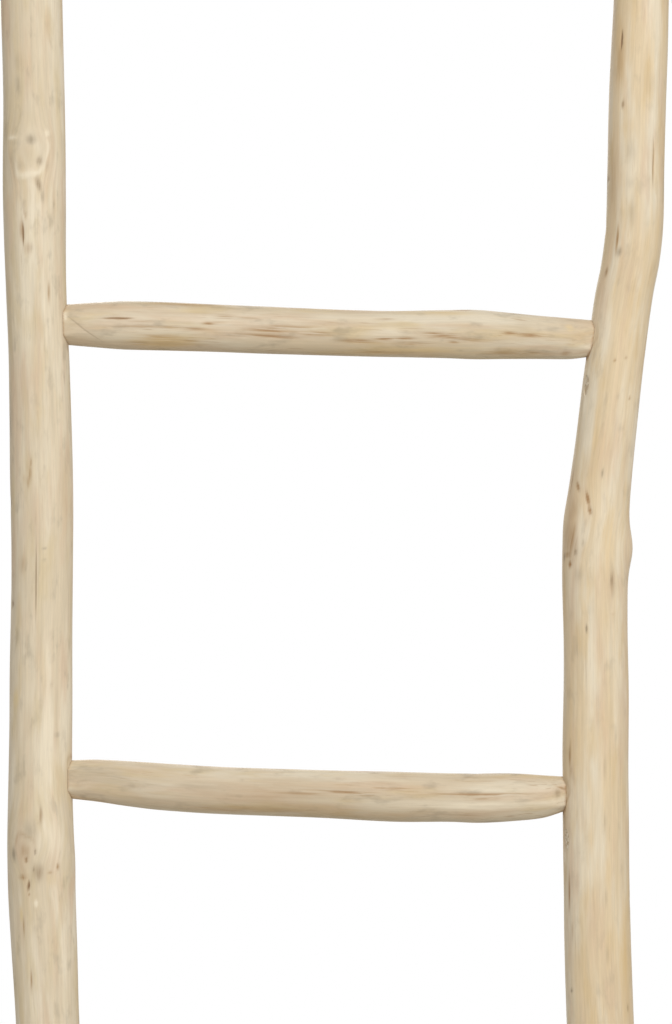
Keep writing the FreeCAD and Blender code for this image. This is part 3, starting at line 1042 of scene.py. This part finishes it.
# %% [markdown]
# ## The stiles
#
# A stile is a tall branch with two sawn ends. Its tube gets a row every two millimetres, close enough
# for a scar of a knife to show in the mesh itself. The ends are sawn flat, with the edges eased by a rub
# of sandpaper, so each gets a cap and a small bevel. The mortises and pockets are cut last, through the
# finished skin.

# %% Close the sawn ends and part the grain round the knots
parting_reach = 1.3
parting_strength = 0.65


def close_ends(shape):
    """Cap both open ends of a tube and round the rims."""
    rims = [edge for edge in shape.edges if edge.is_boundary]
    bmesh.ops.edgeloop_fill(shape, edges=rims)
    bmesh.ops.recalc_face_normals(shape, faces=shape.faces[:])
    bmesh.ops.bevel(shape, geom=rims, offset=sawn_edge_round * mm, offset_type="OFFSET", segments=3,
                    profile=0.5, affect="EDGES", material=-1)


def parted_grain(stile, height, angle, radius):
    """The angle at which each point reads the grain, drawn in so that grain parts round the knots."""
    for knot_height, knot_side, _, spread in stile["knots"]:
        around = side_distance(knot_side, angle, radius)
        near = np.exp(-((height - knot_height) ** 2 + around**2) / (parting_reach * spread) ** 2)
        angle = angle - np.degrees(parting_strength * near * around / radius)
    return angle


print("knots that the grain parts round:", [len(stile["knots"]) for stile in stiles.values()])

# %% Build the two stiles
stile_around = 112
stile_rows = 840
stile_seed_step = 100.0


def build_stile(name, stile, side_joints, seed):
    """One finished stile, painted and ready for its material."""
    shape = tube(stile_around, stile_rows)
    share, angle = shares_and_angles(shape)
    put_vertices(shape, stile_skin(stile, side_joints, share * ladder_height, angle, seed))
    close_ends(shape)
    piece = new_object(name, shape)
    cutters = [cutter(joint) for joint in side_joints for cutter in (mortise, pocket, screw_hole)]
    cut_away(piece, cutters)
    points = mesh_points(piece.data)
    middle = stile_middle(stile, points[:, 2])
    off = points[:, :2] - middle[:, :2]
    angle = np.degrees(np.arctan2(off[:, 1], off[:, 0]))
    radius = stile_radius(stile, points[:, 2], angle)
    turn = np.radians(parted_grain(stile, points[:, 2], angle, radius))
    across = np.linalg.norm(off, axis=1)[:, None] * np.column_stack([np.cos(turn), np.sin(turn)])
    paint(piece.data, points[:, 2], angle, radius, across, stile["marks"], seed)
    smooth_shading(piece.data)
    return piece


stile_pieces = {}
for seed, (side, stile) in enumerate(stiles.items(), start=1):
    side_joints = [pair[seed - 1] for pair in joints]
    stile_pieces[side] = build_stile(f"peeled_stile_{side}", stile, side_joints,
                                     seed * stile_seed_step)
    print(side, "stile has", len(stile_pieces[side].data.polygons), "faces")

# %% [markdown]
# ## The rungs
#
# A rung lies across, so its tube runs along X. Its body is a thinner peeled branch. Over the last few
# centimetres the maker took it down with a knife, which leaves long flat facets that run out into the
# round body. Slicing with flat cutters would leave hard edges, so each facet is a plane that the radius
# may not pass, and the edges between them are softened. The shoulder follows the stile's skin like a
# saddle, and behind it is the round tenon.

# %% Whittled ends
facets = [
    (0, 3.4, 0.20), (48, 0.8, 0.05), (90, 0.2, 0.03), (133, 0.9, 0.06),
    (180, 3.4, 0.20), (226, 0.8, 0.05), (270, 0.2, 0.03), (315, 0.9, 0.045),
]
facet_turn = 4.0
facet_turn_step = 2.4
facet_half_turn = math.radians(70)
facet_lowest_cosine = 0.3
facet_softness = 0.45
well_outside = 9


def knife_facets(from_end, angle, radius, seed):
    """How far the knife took the skin down, for points at a distance from the shoulder.

    The deepest cut counts at each point, with a soft passage from one facet to the next.
    """
    cuts = [np.zeros_like(from_end)]
    for number, (side, depth, run_out) in enumerate(facets):
        side = side + facet_turn * math.sin(seed + facet_turn_step * number)
        flat = radius - depth + run_out * from_end
        turn = np.radians((angle - side + 180) % 360 - 180)
        facing = np.abs(turn) < facet_half_turn
        reach = np.where(facing, flat / np.maximum(np.cos(turn), facet_lowest_cosine),
                         radius + well_outside)
        cuts.append(radius - reach)
    return facet_softness * np.log(np.sum(np.exp(np.array(cuts) / facet_softness), axis=0))


print("knife facets at each end:", len(facets))

# %% Shape a rung's skin
shoulder_blend = 0.12
cope_half_width = 20
rung_relief = 0.8
shoulder_flattening = 0.8
shoulder_settle = 15
right_end_seed = 3


def rung_line(rung, left, right, share):
    """Middle of a rung at shares of the way between the two stiles' skins."""
    straight = left.surface + (right.surface - left.surface) * share[:, None]
    back = smooth_value(rung["bend_back"], share)
    up = smooth_value(rung["bend_up"], share)
    return straight + np.stack([0 * share, back, up], axis=1)


def cope_shift(joint, points, from_end):
    """How far a rung's end is drawn along X, so that it meets the stile's skin all round."""
    near = np.clip(1 - from_end / shoulder_blend, 0, 1) ** 2
    reachable = np.abs(points[:, 1] - joint.middle[1]) < cope_half_width
    across = np.where(reachable, points[:, 1], joint.middle[1])
    return np.where(reachable, joint.shoulder_x(across, points[:, 2]) - joint.surface[0], 0) * near


def rung_skin(rung, left, right, share, angle, seed):
    """Points of a rung's finished skin, with both ends coped to the stiles."""
    turn = np.radians(angle)
    middle = rung_line(rung, left, right, share)
    radius = smooth_value(rung["radius"], share)
    way = np.stack([0 * turn, np.cos(turn), np.sin(turn)], axis=1)
    span = right.surface[0] - left.surface[0]
    place = share * span
    skin = np.stack([radius * np.cos(turn), radius * np.sin(turn), place], axis=1)
    from_shoulder = np.minimum(place, span - place)
    settled = 1 - shoulder_flattening * np.exp(-((from_shoulder / shoulder_settle) ** 2))
    relief = rung_relief * settled * peeled_relief(skin, seed)
    relief -= marks_relief(rung["marks"], place, angle, radius)
    relief -= knife_facets(place, angle, radius, seed)
    relief -= knife_facets(span - place, angle, radius, seed + right_end_seed)
    points = middle + way * (radius + relief)[:, None]
    for joint, from_end in ((left, share), (right, 1 - share)):
        points[:, 0] += cope_shift(joint, points, from_end)
    return points


print("share of a rung that the cope bends:", shoulder_blend)

# %% Add a tenon
def add_tenon(shape, rim, joint):
    """Extrude one open end of a rung inwards to its shoulder, then out as a tenon, and close it."""
    for depth in (0.0, tenon_depth):
        centre = joint.surface - joint.outward * depth
        made = bmesh.ops.extrude_edge_only(shape, edges=rim)["geom"]
        rim = [item for item in made if isinstance(item, bmesh.types.BMEdge) and item.is_boundary]
        for vertex in {vertex for edge in rim for vertex in edge.verts}:
            off = np.array(vertex.co)[1:] / mm - (joint.surface if depth == 0 else last)[1:]
            y, z = centre[1:] + off * tenon_radius / np.linalg.norm(off)
            x = centre[0] if depth else joint.shoulder_x(y, z)
            vertex.co = Vector((x, y, z)) * mm
        last = centre
    bmesh.ops.edgeloop_fill(shape, edges=rim)


print("each tenon is", 2 * tenon_radius, "mm thick and", tenon_depth, "mm long")

# %% Build the five rungs
rung_around = 128
rung_rows = 200
first_rung_seed = 700.0
rung_seed_step = 90


def build_rung(name, rung, left, right, seed):
    """One finished rung with its tenons, painted and ready for its material."""
    shape = tube(rung_around, rung_rows)
    share, angle = shares_and_angles(shape)
    put_vertices(shape, rung_skin(rung, left, right, share, angle, seed))
    rims = [edge for edge in shape.edges if edge.is_boundary]
    middle_x = (left.surface[0] + right.surface[0]) / 2 * mm
    add_tenon(shape, [edge for edge in rims if edge.verts[0].co.x < middle_x], left)
    add_tenon(shape, [edge for edge in rims if edge.verts[0].co.x > middle_x], right)
    bmesh.ops.recalc_face_normals(shape, faces=shape.faces[:])
    piece = new_object(name, shape)
    cut_away(piece, [screw_hole(left), screw_hole(right)])
    points = mesh_points(piece.data)
    place = points[:, 0] - left.surface[0]
    share = place / (right.surface[0] - left.surface[0])
    off = points - rung_line(rung, left, right, share)
    angle = np.degrees(np.arctan2(off[:, 2], off[:, 1]))
    radius = smooth_value(rung["radius"], share)
    place = place - cope_shift(left, points, share) - cope_shift(right, points, 1 - share)
    paint(piece.data, place, angle, radius, off[:, 1:], rung["marks"], seed)
    smooth_shading(piece.data)
    return piece


rung_pieces = []
for number, (rung, (left, right)) in enumerate(zip(rung_shapes, joints)):
    seed = first_rung_seed + rung_seed_step * number
    rung_pieces.append(build_rung(f"whittled_rung_{number + 1}", rung, left, right, seed))
print("rungs built:", [len(piece.data.polygons) for piece in rung_pieces])

# %% [markdown]
# ## Peeled wood
#
# Stiles and rungs are the same pale wood, so one node group makes the effect for both. It reads where
# each point lies in its own branch, so the grain bends with the branch. Noise that is stretched along
# the branch gives broad bands, fine grain and short brown dashes. Blender's wave texture also draws
# wood, but its even stripes look like sawn board. The painted marks stain the grain on top.

# %% Noise stretched along the branch
noise_roughness = 0.55
wood_patterns = {
    "bands": (0.016, 0.13, 1.0),
    "patches": (0.012, 0.055, 5.0),
    "rosy": (0.012, 0.075, 9.0),
    "greys": (0.009, 0.022, 13.0),
    "grain": (0.0028, 0.040, 17.0, 4.0),
    "fibres": (0.0008, 0.010, 21.0, 2.0),
    "lines": (0.0014, 0.120, 33.0, 2.0),
    "dashes": (0.0012, 0.026, 25.0, 2.5),
    "dash areas": (0.014, 0.070, 29.0),
}


def stretched_noise(tree, place, across, along, seed, detail=3.0):
    """Noise with blotches of a size across and along the branch, in metres."""
    mapping = add_node(tree, "ShaderNodeMapping", {
        "Vector": place, "Location": (seed, seed * 0.7, seed * 1.3),
        "Scale": (1 / across, 1 / across, 1 / along)})
    made = add_node(tree, "ShaderNodeTexNoise", {
        "Vector": mapping.outputs[0], "Scale": 1.0, "Detail": detail, "Roughness": noise_roughness})
    return made.outputs[0]


print("patterns along the grain:", list(wood_patterns))

# %% What the wood group takes and gives
wood_colours = {
    "Body": colour(224, 205, 172),
    "Pale": colour(234, 221, 196),
    "Honey": colour(219, 195, 148),
    "Pink": colour(217, 189, 158),
    "Grey": colour(170, 156, 133),
    "Brown": colour(161, 125, 85),
    "Dark": colour(92, 66, 46),
}


def add_wood_sockets(tree):
    """Give the group its inputs and outputs."""
    sockets = [("Place", "NodeSocketVector", None), ("Seed", "NodeSocketFloat", 0.0)]
    sockets += [(name, "NodeSocketColor", value) for name, value in wood_colours.items()]
    sockets += [(f"{name} stain", "NodeSocketFloat", 0.0) for name in stain_names]
    sockets += [("Fine steps", "NodeSocketVector", None), ("Fine tints", "NodeSocketVector", None)]
    sockets += [(name, "NodeSocketFloat", 0.5) for name in ("Dashes", "Greying", "Tone")]
    for name, kind, value in sockets:
        made = tree.interface.new_socket(name, in_out="INPUT", socket_type=kind)
        if value is not None:
            made.default_value = value
    for name, kind in (("Colour", "Color"), ("Roughness", "Float"), ("Height", "Float")):
        tree.interface.new_socket(name, in_out="OUTPUT", socket_type=f"NodeSocket{kind}")


print("colours of the wood:", list(wood_colours))

# %% The weathered wood
body_layers = [
    ("Pale", "bands", 0.40, 0.66, 1.0),
    ("Honey", "patches", 0.46, 0.72, 0.60),
    ("Pink", "rosy", 0.46, 0.74, 0.60),
]
grey_limits = (0.54, 0.76)
grain_tones = [
    ("grain", 0.30, 0.70, 0.955, 1.02),
    ("fibres", 0.25, 0.75, 0.975, 1.02),
    ("lines", 0.30, 0.62, 0.955, 1.01),
]


def weathered_wood(tree, given, patterns):
    """The wood's own colour: bands, warm and rosy patches, greying, and the tone of the fine grain."""
    shade = given["Body"]
    for name, pattern, low, high, most in body_layers:
        share = soft_step(tree, patterns[pattern], low, high, 0.0, most)
        shade = blend(tree, share, shade, given[name])
    greyed = times(tree, soft_step(tree, patterns["greys"], *grey_limits), given["Greying"])
    shade = blend(tree, greyed, shade, given["Grey"])
    tones = [soft_step(tree, patterns[pattern], *limits) for pattern, *limits in grain_tones]
    tone = times(tree, times(tree, tones[0], tones[1]), times(tree, tones[2], given["Tone"]))
    tone_colour = add_node(tree, "ShaderNodeCombineColor", {0: tone, 1: tone, 2: tone}).outputs[0]
    return blend(tree, 1.0, shade, tone_colour, "MULTIPLY")


print("layers over the body colour:", len(body_layers) + 1)

# %% The brown dashes
dash_area_limits = (0.48, 0.62)
own_dash_limits = (0.56, 0.70)
streak_limits = (0.38, 0.56)


def brown_dashes(tree, given, patterns):
    """Share of short brown dashes: some everywhere in their own areas, and more in painted streaks."""
    areas = times(tree, soft_step(tree, patterns["dash areas"], *dash_area_limits), given["Dashes"])
    own = times(tree, soft_step(tree, patterns["dashes"], *own_dash_limits), areas)
    streaks = times(tree, soft_step(tree, patterns["dashes"], *streak_limits), given["streak stain"])
    return add_node(tree, "ShaderNodeMath", {0: own, 1: streaks}, operation="MAXIMUM").outputs[0]


print("a dash starts where its noise passes", own_dash_limits[0], "or", streak_limits[0], "in a streak")

# %% The painted marks
broad_order = ("honey", "grey", "pale", "brown", "dark")
ragged_edge = (0.25, 0.75, 0.55, 1.25)
full_stain = 0.8
fibre_fray = 0.6
fine_mark_gone = 2.0
fine_mark_whole = 0.8


def broad_stains(tree, shade, given, patterns):
    """Lay the broad marks over the wood, with edges that the grain makes ragged."""
    ragged = soft_step(tree, patterns["grain"], *ragged_edge)
    for name in broad_order:
        share = soft_step(tree, times(tree, given[f"{name} stain"], ragged), 0.0, full_stain)
        shade = blend(tree, share, shade, given[name.title()])
    return shade


def fine_marks(tree, given, patterns):
    """Share of a fine mark: whole near its middle, gone at twice its half size, frayed by the fibres."""
    steps = add_node(tree, "ShaderNodeVectorMath", {0: given["Fine steps"]}, operation="LENGTH")
    frayed = plus(tree, times(tree, patterns["fibres"], fibre_fray), steps.outputs["Value"])
    return soft_step(tree, frayed, fine_mark_gone, fine_mark_whole)


print("broad stains from below to above:", broad_order)

# %% The peeled wood group
wood_roughness = (0.3, 0.7, 0.58, 0.72)
dash_roughness = 0.12
grain_height = 0.5
fibre_height = 0.3
dash_height = -0.3
stain_height = -0.6
crack_height = -1.6


def wood_group():
    """Colour, roughness and height of peeled wood, from the place in the branch and its stains."""
    tree = bpy.data.node_groups.new("peeled wood", "ShaderNodeTree")
    add_wood_sockets(tree)
    given = add_node(tree, "NodeGroupInput").outputs
    seeded = add_node(tree, "ShaderNodeCombineXYZ", {0: given["Seed"], 1: given["Seed"], 2: given["Seed"]})
    place = add_node(tree, "ShaderNodeVectorMath", {0: given["Place"], 1: seeded.outputs[0]}).outputs[0]
    patterns = {name: stretched_noise(tree, place, *values) for name, values in wood_patterns.items()}
    dashes = brown_dashes(tree, given, patterns)
    fine = fine_marks(tree, given, patterns)
    tints = add_node(tree, "ShaderNodeSeparateXYZ", {0: given["Fine tints"]}).outputs
    cracks = times(tree, fine, tints[fine_stains.index("dark")])

    shade = blend(tree, dashes, weathered_wood(tree, given, patterns), given["Brown"])
    shade = broad_stains(tree, shade, given, patterns)
    for tint, name in zip(tints, fine_stains):
        shade = blend(tree, times(tree, fine, tint), shade, given[name.title()])
    rough = soft_step(tree, patterns["patches"], *wood_roughness)
    rough = plus(tree, rough, times(tree, dashes, dash_roughness))
    height = times(tree, patterns["grain"], grain_height)
    for source, lift in ((patterns["fibres"], fibre_height), (dashes, dash_height),
                         (given["dark stain"], stain_height), (cracks, crack_height)):
        height = plus(tree, height, times(tree, source, lift))
    add_node(tree, "NodeGroupOutput", {"Colour": shade, "Roughness": rough, "Height": height})
    return tree


peeled_wood = wood_group()
print("nodes in the peeled wood group:", len(peeled_wood.nodes))

# %% Put the wood on the branches
def wood_material(name, **values):
    """Peeled wood for one kind of branch, with its own values for the group's inputs."""
    made, tree = new_material(name)
    painted = [("Place", "log_place", "Vector")]
    painted += [(f"{stain} stain", f"{stain}_stain", "Fac") for stain in stain_names]
    painted += [("Fine steps", "fine_steps", "Vector"), ("Fine tints", "fine_tints", "Vector")]
    inputs = {socket.title(): value for socket, value in values.items()}
    for socket, attribute, output in painted:
        read = add_node(tree, "ShaderNodeAttribute", attribute_name=attribute)
        inputs[socket] = read.outputs[output]
    wood = add_node(tree, "ShaderNodeGroup", node_tree=peeled_wood)
    fill_inputs(tree, wood, inputs)
    bump = add_node(tree, "ShaderNodeBump", {
        "Strength": 0.45, "Distance": 0.0006, "Height": wood.outputs["Height"]})
    fill_shader(tree, {
        "Base Color": wood.outputs["Colour"], "Roughness": wood.outputs["Roughness"],
        "Normal": bump.outputs[0], "Specular IOR Level": 0.25})
    return made


stile_woods = {
    "left": wood_material("greyer stile wood", seed=3.1, dashes=0.14, greying=0.40, tone=0.95,
                          body=colour(221, 205, 177), honey=colour(216, 196, 156)),
    "right": wood_material("tan stile wood", seed=6.4, dashes=0.16, greying=0.25, tone=0.94,
                           body=colour(225, 204, 169), honey=colour(221, 194, 148)),
}
rung_wood = wood_material("rung wood", seed=8.7, dashes=0.50, greying=0.50, tone=0.87,
                          body=colour(222, 204, 175))
print("wood materials:", [made.name for made in (*stile_woods.values(), rung_wood)])

# %% [markdown]
# ## Sawn ends
#
# The saw cut across the branch, so the ends show what the sides don't: growth rings about two
# millimetres apart, a small dark pith, cracks that run out from it, and the fine lines of the saw. The
# rings are a sine of the distance from the branch's own middle, so they stay round the pith even where
# the branch is bent.

# %% Values of the end grain
ring_wave = 3300.0
ring_wobble = 14.0
ring_colours = (colour(220, 202, 168), colour(204, 180, 141))
pore_colour = colour(160, 128, 90)
pith_colour = colour(150, 116, 80)
check_colour = colour(118, 90, 64)
pith_edge = (0.0035, 0.0015)
check_start = (0.001, 0.006)
check_limits = (0.665, 0.70)
pore_limits = (0.52, 0.72, 0.0, 0.5)
saw_line_size = (0.0008, 0.01)
saw_height = 0.6
check_height = -1.2
print("growth rings are", round(2000 * math.pi / ring_wave, 1), "mm apart")

# %% Sawn end grain
def sawn_material():
    """End grain with rings, pith, drying cracks (checks) and saw marks."""
    made, tree = new_material("sawn end grain")
    place = add_node(tree, "ShaderNodeAttribute", attribute_name="log_place").outputs["Vector"]
    flat = add_node(tree, "ShaderNodeVectorMath", {0: place, 1: (1, 1, 0)}, operation="MULTIPLY").outputs[0]
    wobble = even_noise(tree, flat, 70.0, 2.0)
    reach = add_node(tree, "ShaderNodeVectorMath", {0: flat}, operation="LENGTH").outputs["Value"]
    rings = plus(tree, times(tree, reach, ring_wave), times(tree, wobble, ring_wobble))
    rings = add_node(tree, "ShaderNodeMath", {0: rings}, operation="SINE").outputs[0]
    parts = add_node(tree, "ShaderNodeSeparateXYZ", {0: flat}).outputs
    turn = add_node(tree, "ShaderNodeMath", {0: parts[1], 1: parts[0]}, operation="ARCTAN2").outputs[0]
    turn_noise = add_node(tree, "ShaderNodeTexNoise", {"W": turn, "Scale": 5.0, "Detail": 5.0},
                          noise_dimensions="1D").outputs[0]
    checks = times(tree, soft_step(tree, turn_noise, *check_limits), soft_step(tree, reach, *check_start))
    saw = stretched_noise(tree, place, *saw_line_size, 3.0)
    pores = even_noise(tree, flat, 1500.0, 2.0)
    shade = blend(tree, soft_step(tree, rings, -1.0, 1.0), *ring_colours)
    shade = blend(tree, soft_step(tree, pores, *pore_limits), shade, pore_colour)
    shade = blend(tree, soft_step(tree, reach, *pith_edge), shade, pith_colour)
    shade = blend(tree, checks, shade, check_colour)
    height = plus(tree, times(tree, saw, saw_height), times(tree, checks, check_height))
    bump = add_node(tree, "ShaderNodeBump", {"Strength": 0.8, "Distance": 0.0005, "Height": height})
    fill_shader(tree, {
        "Base Color": shade, "Normal": bump.outputs[0], "Roughness": 0.8, "Specular IOR Level": 0.2})
    return made


sawn_end = sawn_material()
print("end grain nodes:", len(sawn_end.node_tree.nodes))

# %% [markdown]
# ## Dressing the branches
#
# Each finished branch gets its wood, and the stiles also get end grain where the saw cut them. Those
# faces could be picked by hand, but they are easy to find, because they look straight up or down. Each
# branch then takes the place of its construction solid.

# %% Dress the branches
flat_enough = 0.9


def mark_sawn_faces(mesh):
    """Give the faces that look straight up or down the second material."""
    normals = np.empty(len(mesh.polygons) * 3)
    mesh.polygons.foreach_get("normal", normals)
    sawn = np.abs(normals[2::3]) > flat_enough
    mesh.polygons.foreach_set("material_index", sawn.astype(np.int32))


for side, piece in stile_pieces.items():
    piece.data.materials.clear()
    piece.data.materials.append(stile_woods[side])
    piece.data.materials.append(sawn_end)
    mark_sawn_faces(piece.data)
    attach(piece, "root")
    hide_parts(f"stile_{side}")
for number, piece in enumerate(rung_pieces, start=1):
    piece.data.materials.clear()
    piece.data.materials.append(rung_wood)
    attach(piece, "root")
    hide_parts(f"rung_{number}")
print("branches dressed:", len(stile_pieces) + len(rung_pieces))

# %% [markdown]
# ## Filler and screws
#
# The filler was pressed over each screw and rubbed down with the stile. It is paler and finer than the
# wood, with small pinholes. The screws are plain zinc-plated steel, hidden until the ladder comes apart.
# The construction solids of both already have their true shape, so they are kept and only get a finish.

# %% Mix the filler
filler_colours = (colour(186, 164, 132), colour(226, 214, 192))
pinhole_colour = colour(84, 62, 44)
blotch_scale = 420.0
blotch_limits = (0.35, 0.65)
pinhole_scale = 1600.0
pinhole_limits = (0.66, 0.72)


def filler_material():
    """Pale wood filler with faint blotches and pinholes."""
    made, tree = new_material("wood filler")
    place = add_node(tree, "ShaderNodeTexCoord").outputs["Object"]
    blotches = even_noise(tree, place, blotch_scale, 3.0)
    holes = even_noise(tree, place, pinhole_scale, 1.0)
    pinholes = soft_step(tree, holes, *pinhole_limits)
    shade = blend(tree, soft_step(tree, blotches, *blotch_limits), *filler_colours)
    shade = blend(tree, pinholes, shade, pinhole_colour)
    bump = add_node(tree, "ShaderNodeBump", {
        "Strength": 0.6, "Distance": 0.0003, "Height": times(tree, pinholes, -1.0)})
    fill_shader(tree, {"Base Color": shade, "Normal": bump.outputs[0], "Roughness": 0.85})
    return made


finishes = {"filler": filler_material()}
print("filler nodes:", len(finishes["filler"].node_tree.nodes))

# %% Mix the steel and put both finishes on
steel_colours = (colour(176, 178, 180), colour(206, 205, 198))
dull_patch_scale = 300.0
steel_roughness = (0.3, 0.7, 0.28, 0.45)


def steel_material():
    """Zinc-plated steel with dull patches."""
    made, tree = new_material("zinc-plated steel")
    place = add_node(tree, "ShaderNodeTexCoord").outputs["Object"]
    patches = even_noise(tree, place, dull_patch_scale, 4.0)
    shade = blend(tree, patches, *steel_colours)
    dullness = soft_step(tree, patches, *steel_roughness)
    fill_shader(tree, {"Base Color": shade, "Roughness": dullness, "Metallic": 1.0})
    return made


finishes["screw"] = steel_material()
for name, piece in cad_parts.items():
    kind = name.split("_")[0]
    if kind in finishes:
        for slot in piece.material_slots:
            slot.material = finishes[kind]
print("fillers and screws:", sum(name.split("_")[0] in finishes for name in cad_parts))

# %% [markdown]
# ## The last look at the sizes
#
# The sizes of the construction model's box and of the finished ladder's box are printed, so that they
# can be compared. The finished ladder may stand only a little proud of its construction model.

# %% Print the sizes and finish
low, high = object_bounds()
sizes = {
    "cad_box": [list(cad_low), list(cad_high)],
    "visual_box": [list(low), list(high)],
}
for name, (box_low, box_high) in sizes.items():
    print(name, [round((b - a) * 1000, 1) for a, b in zip(box_low, box_high)])
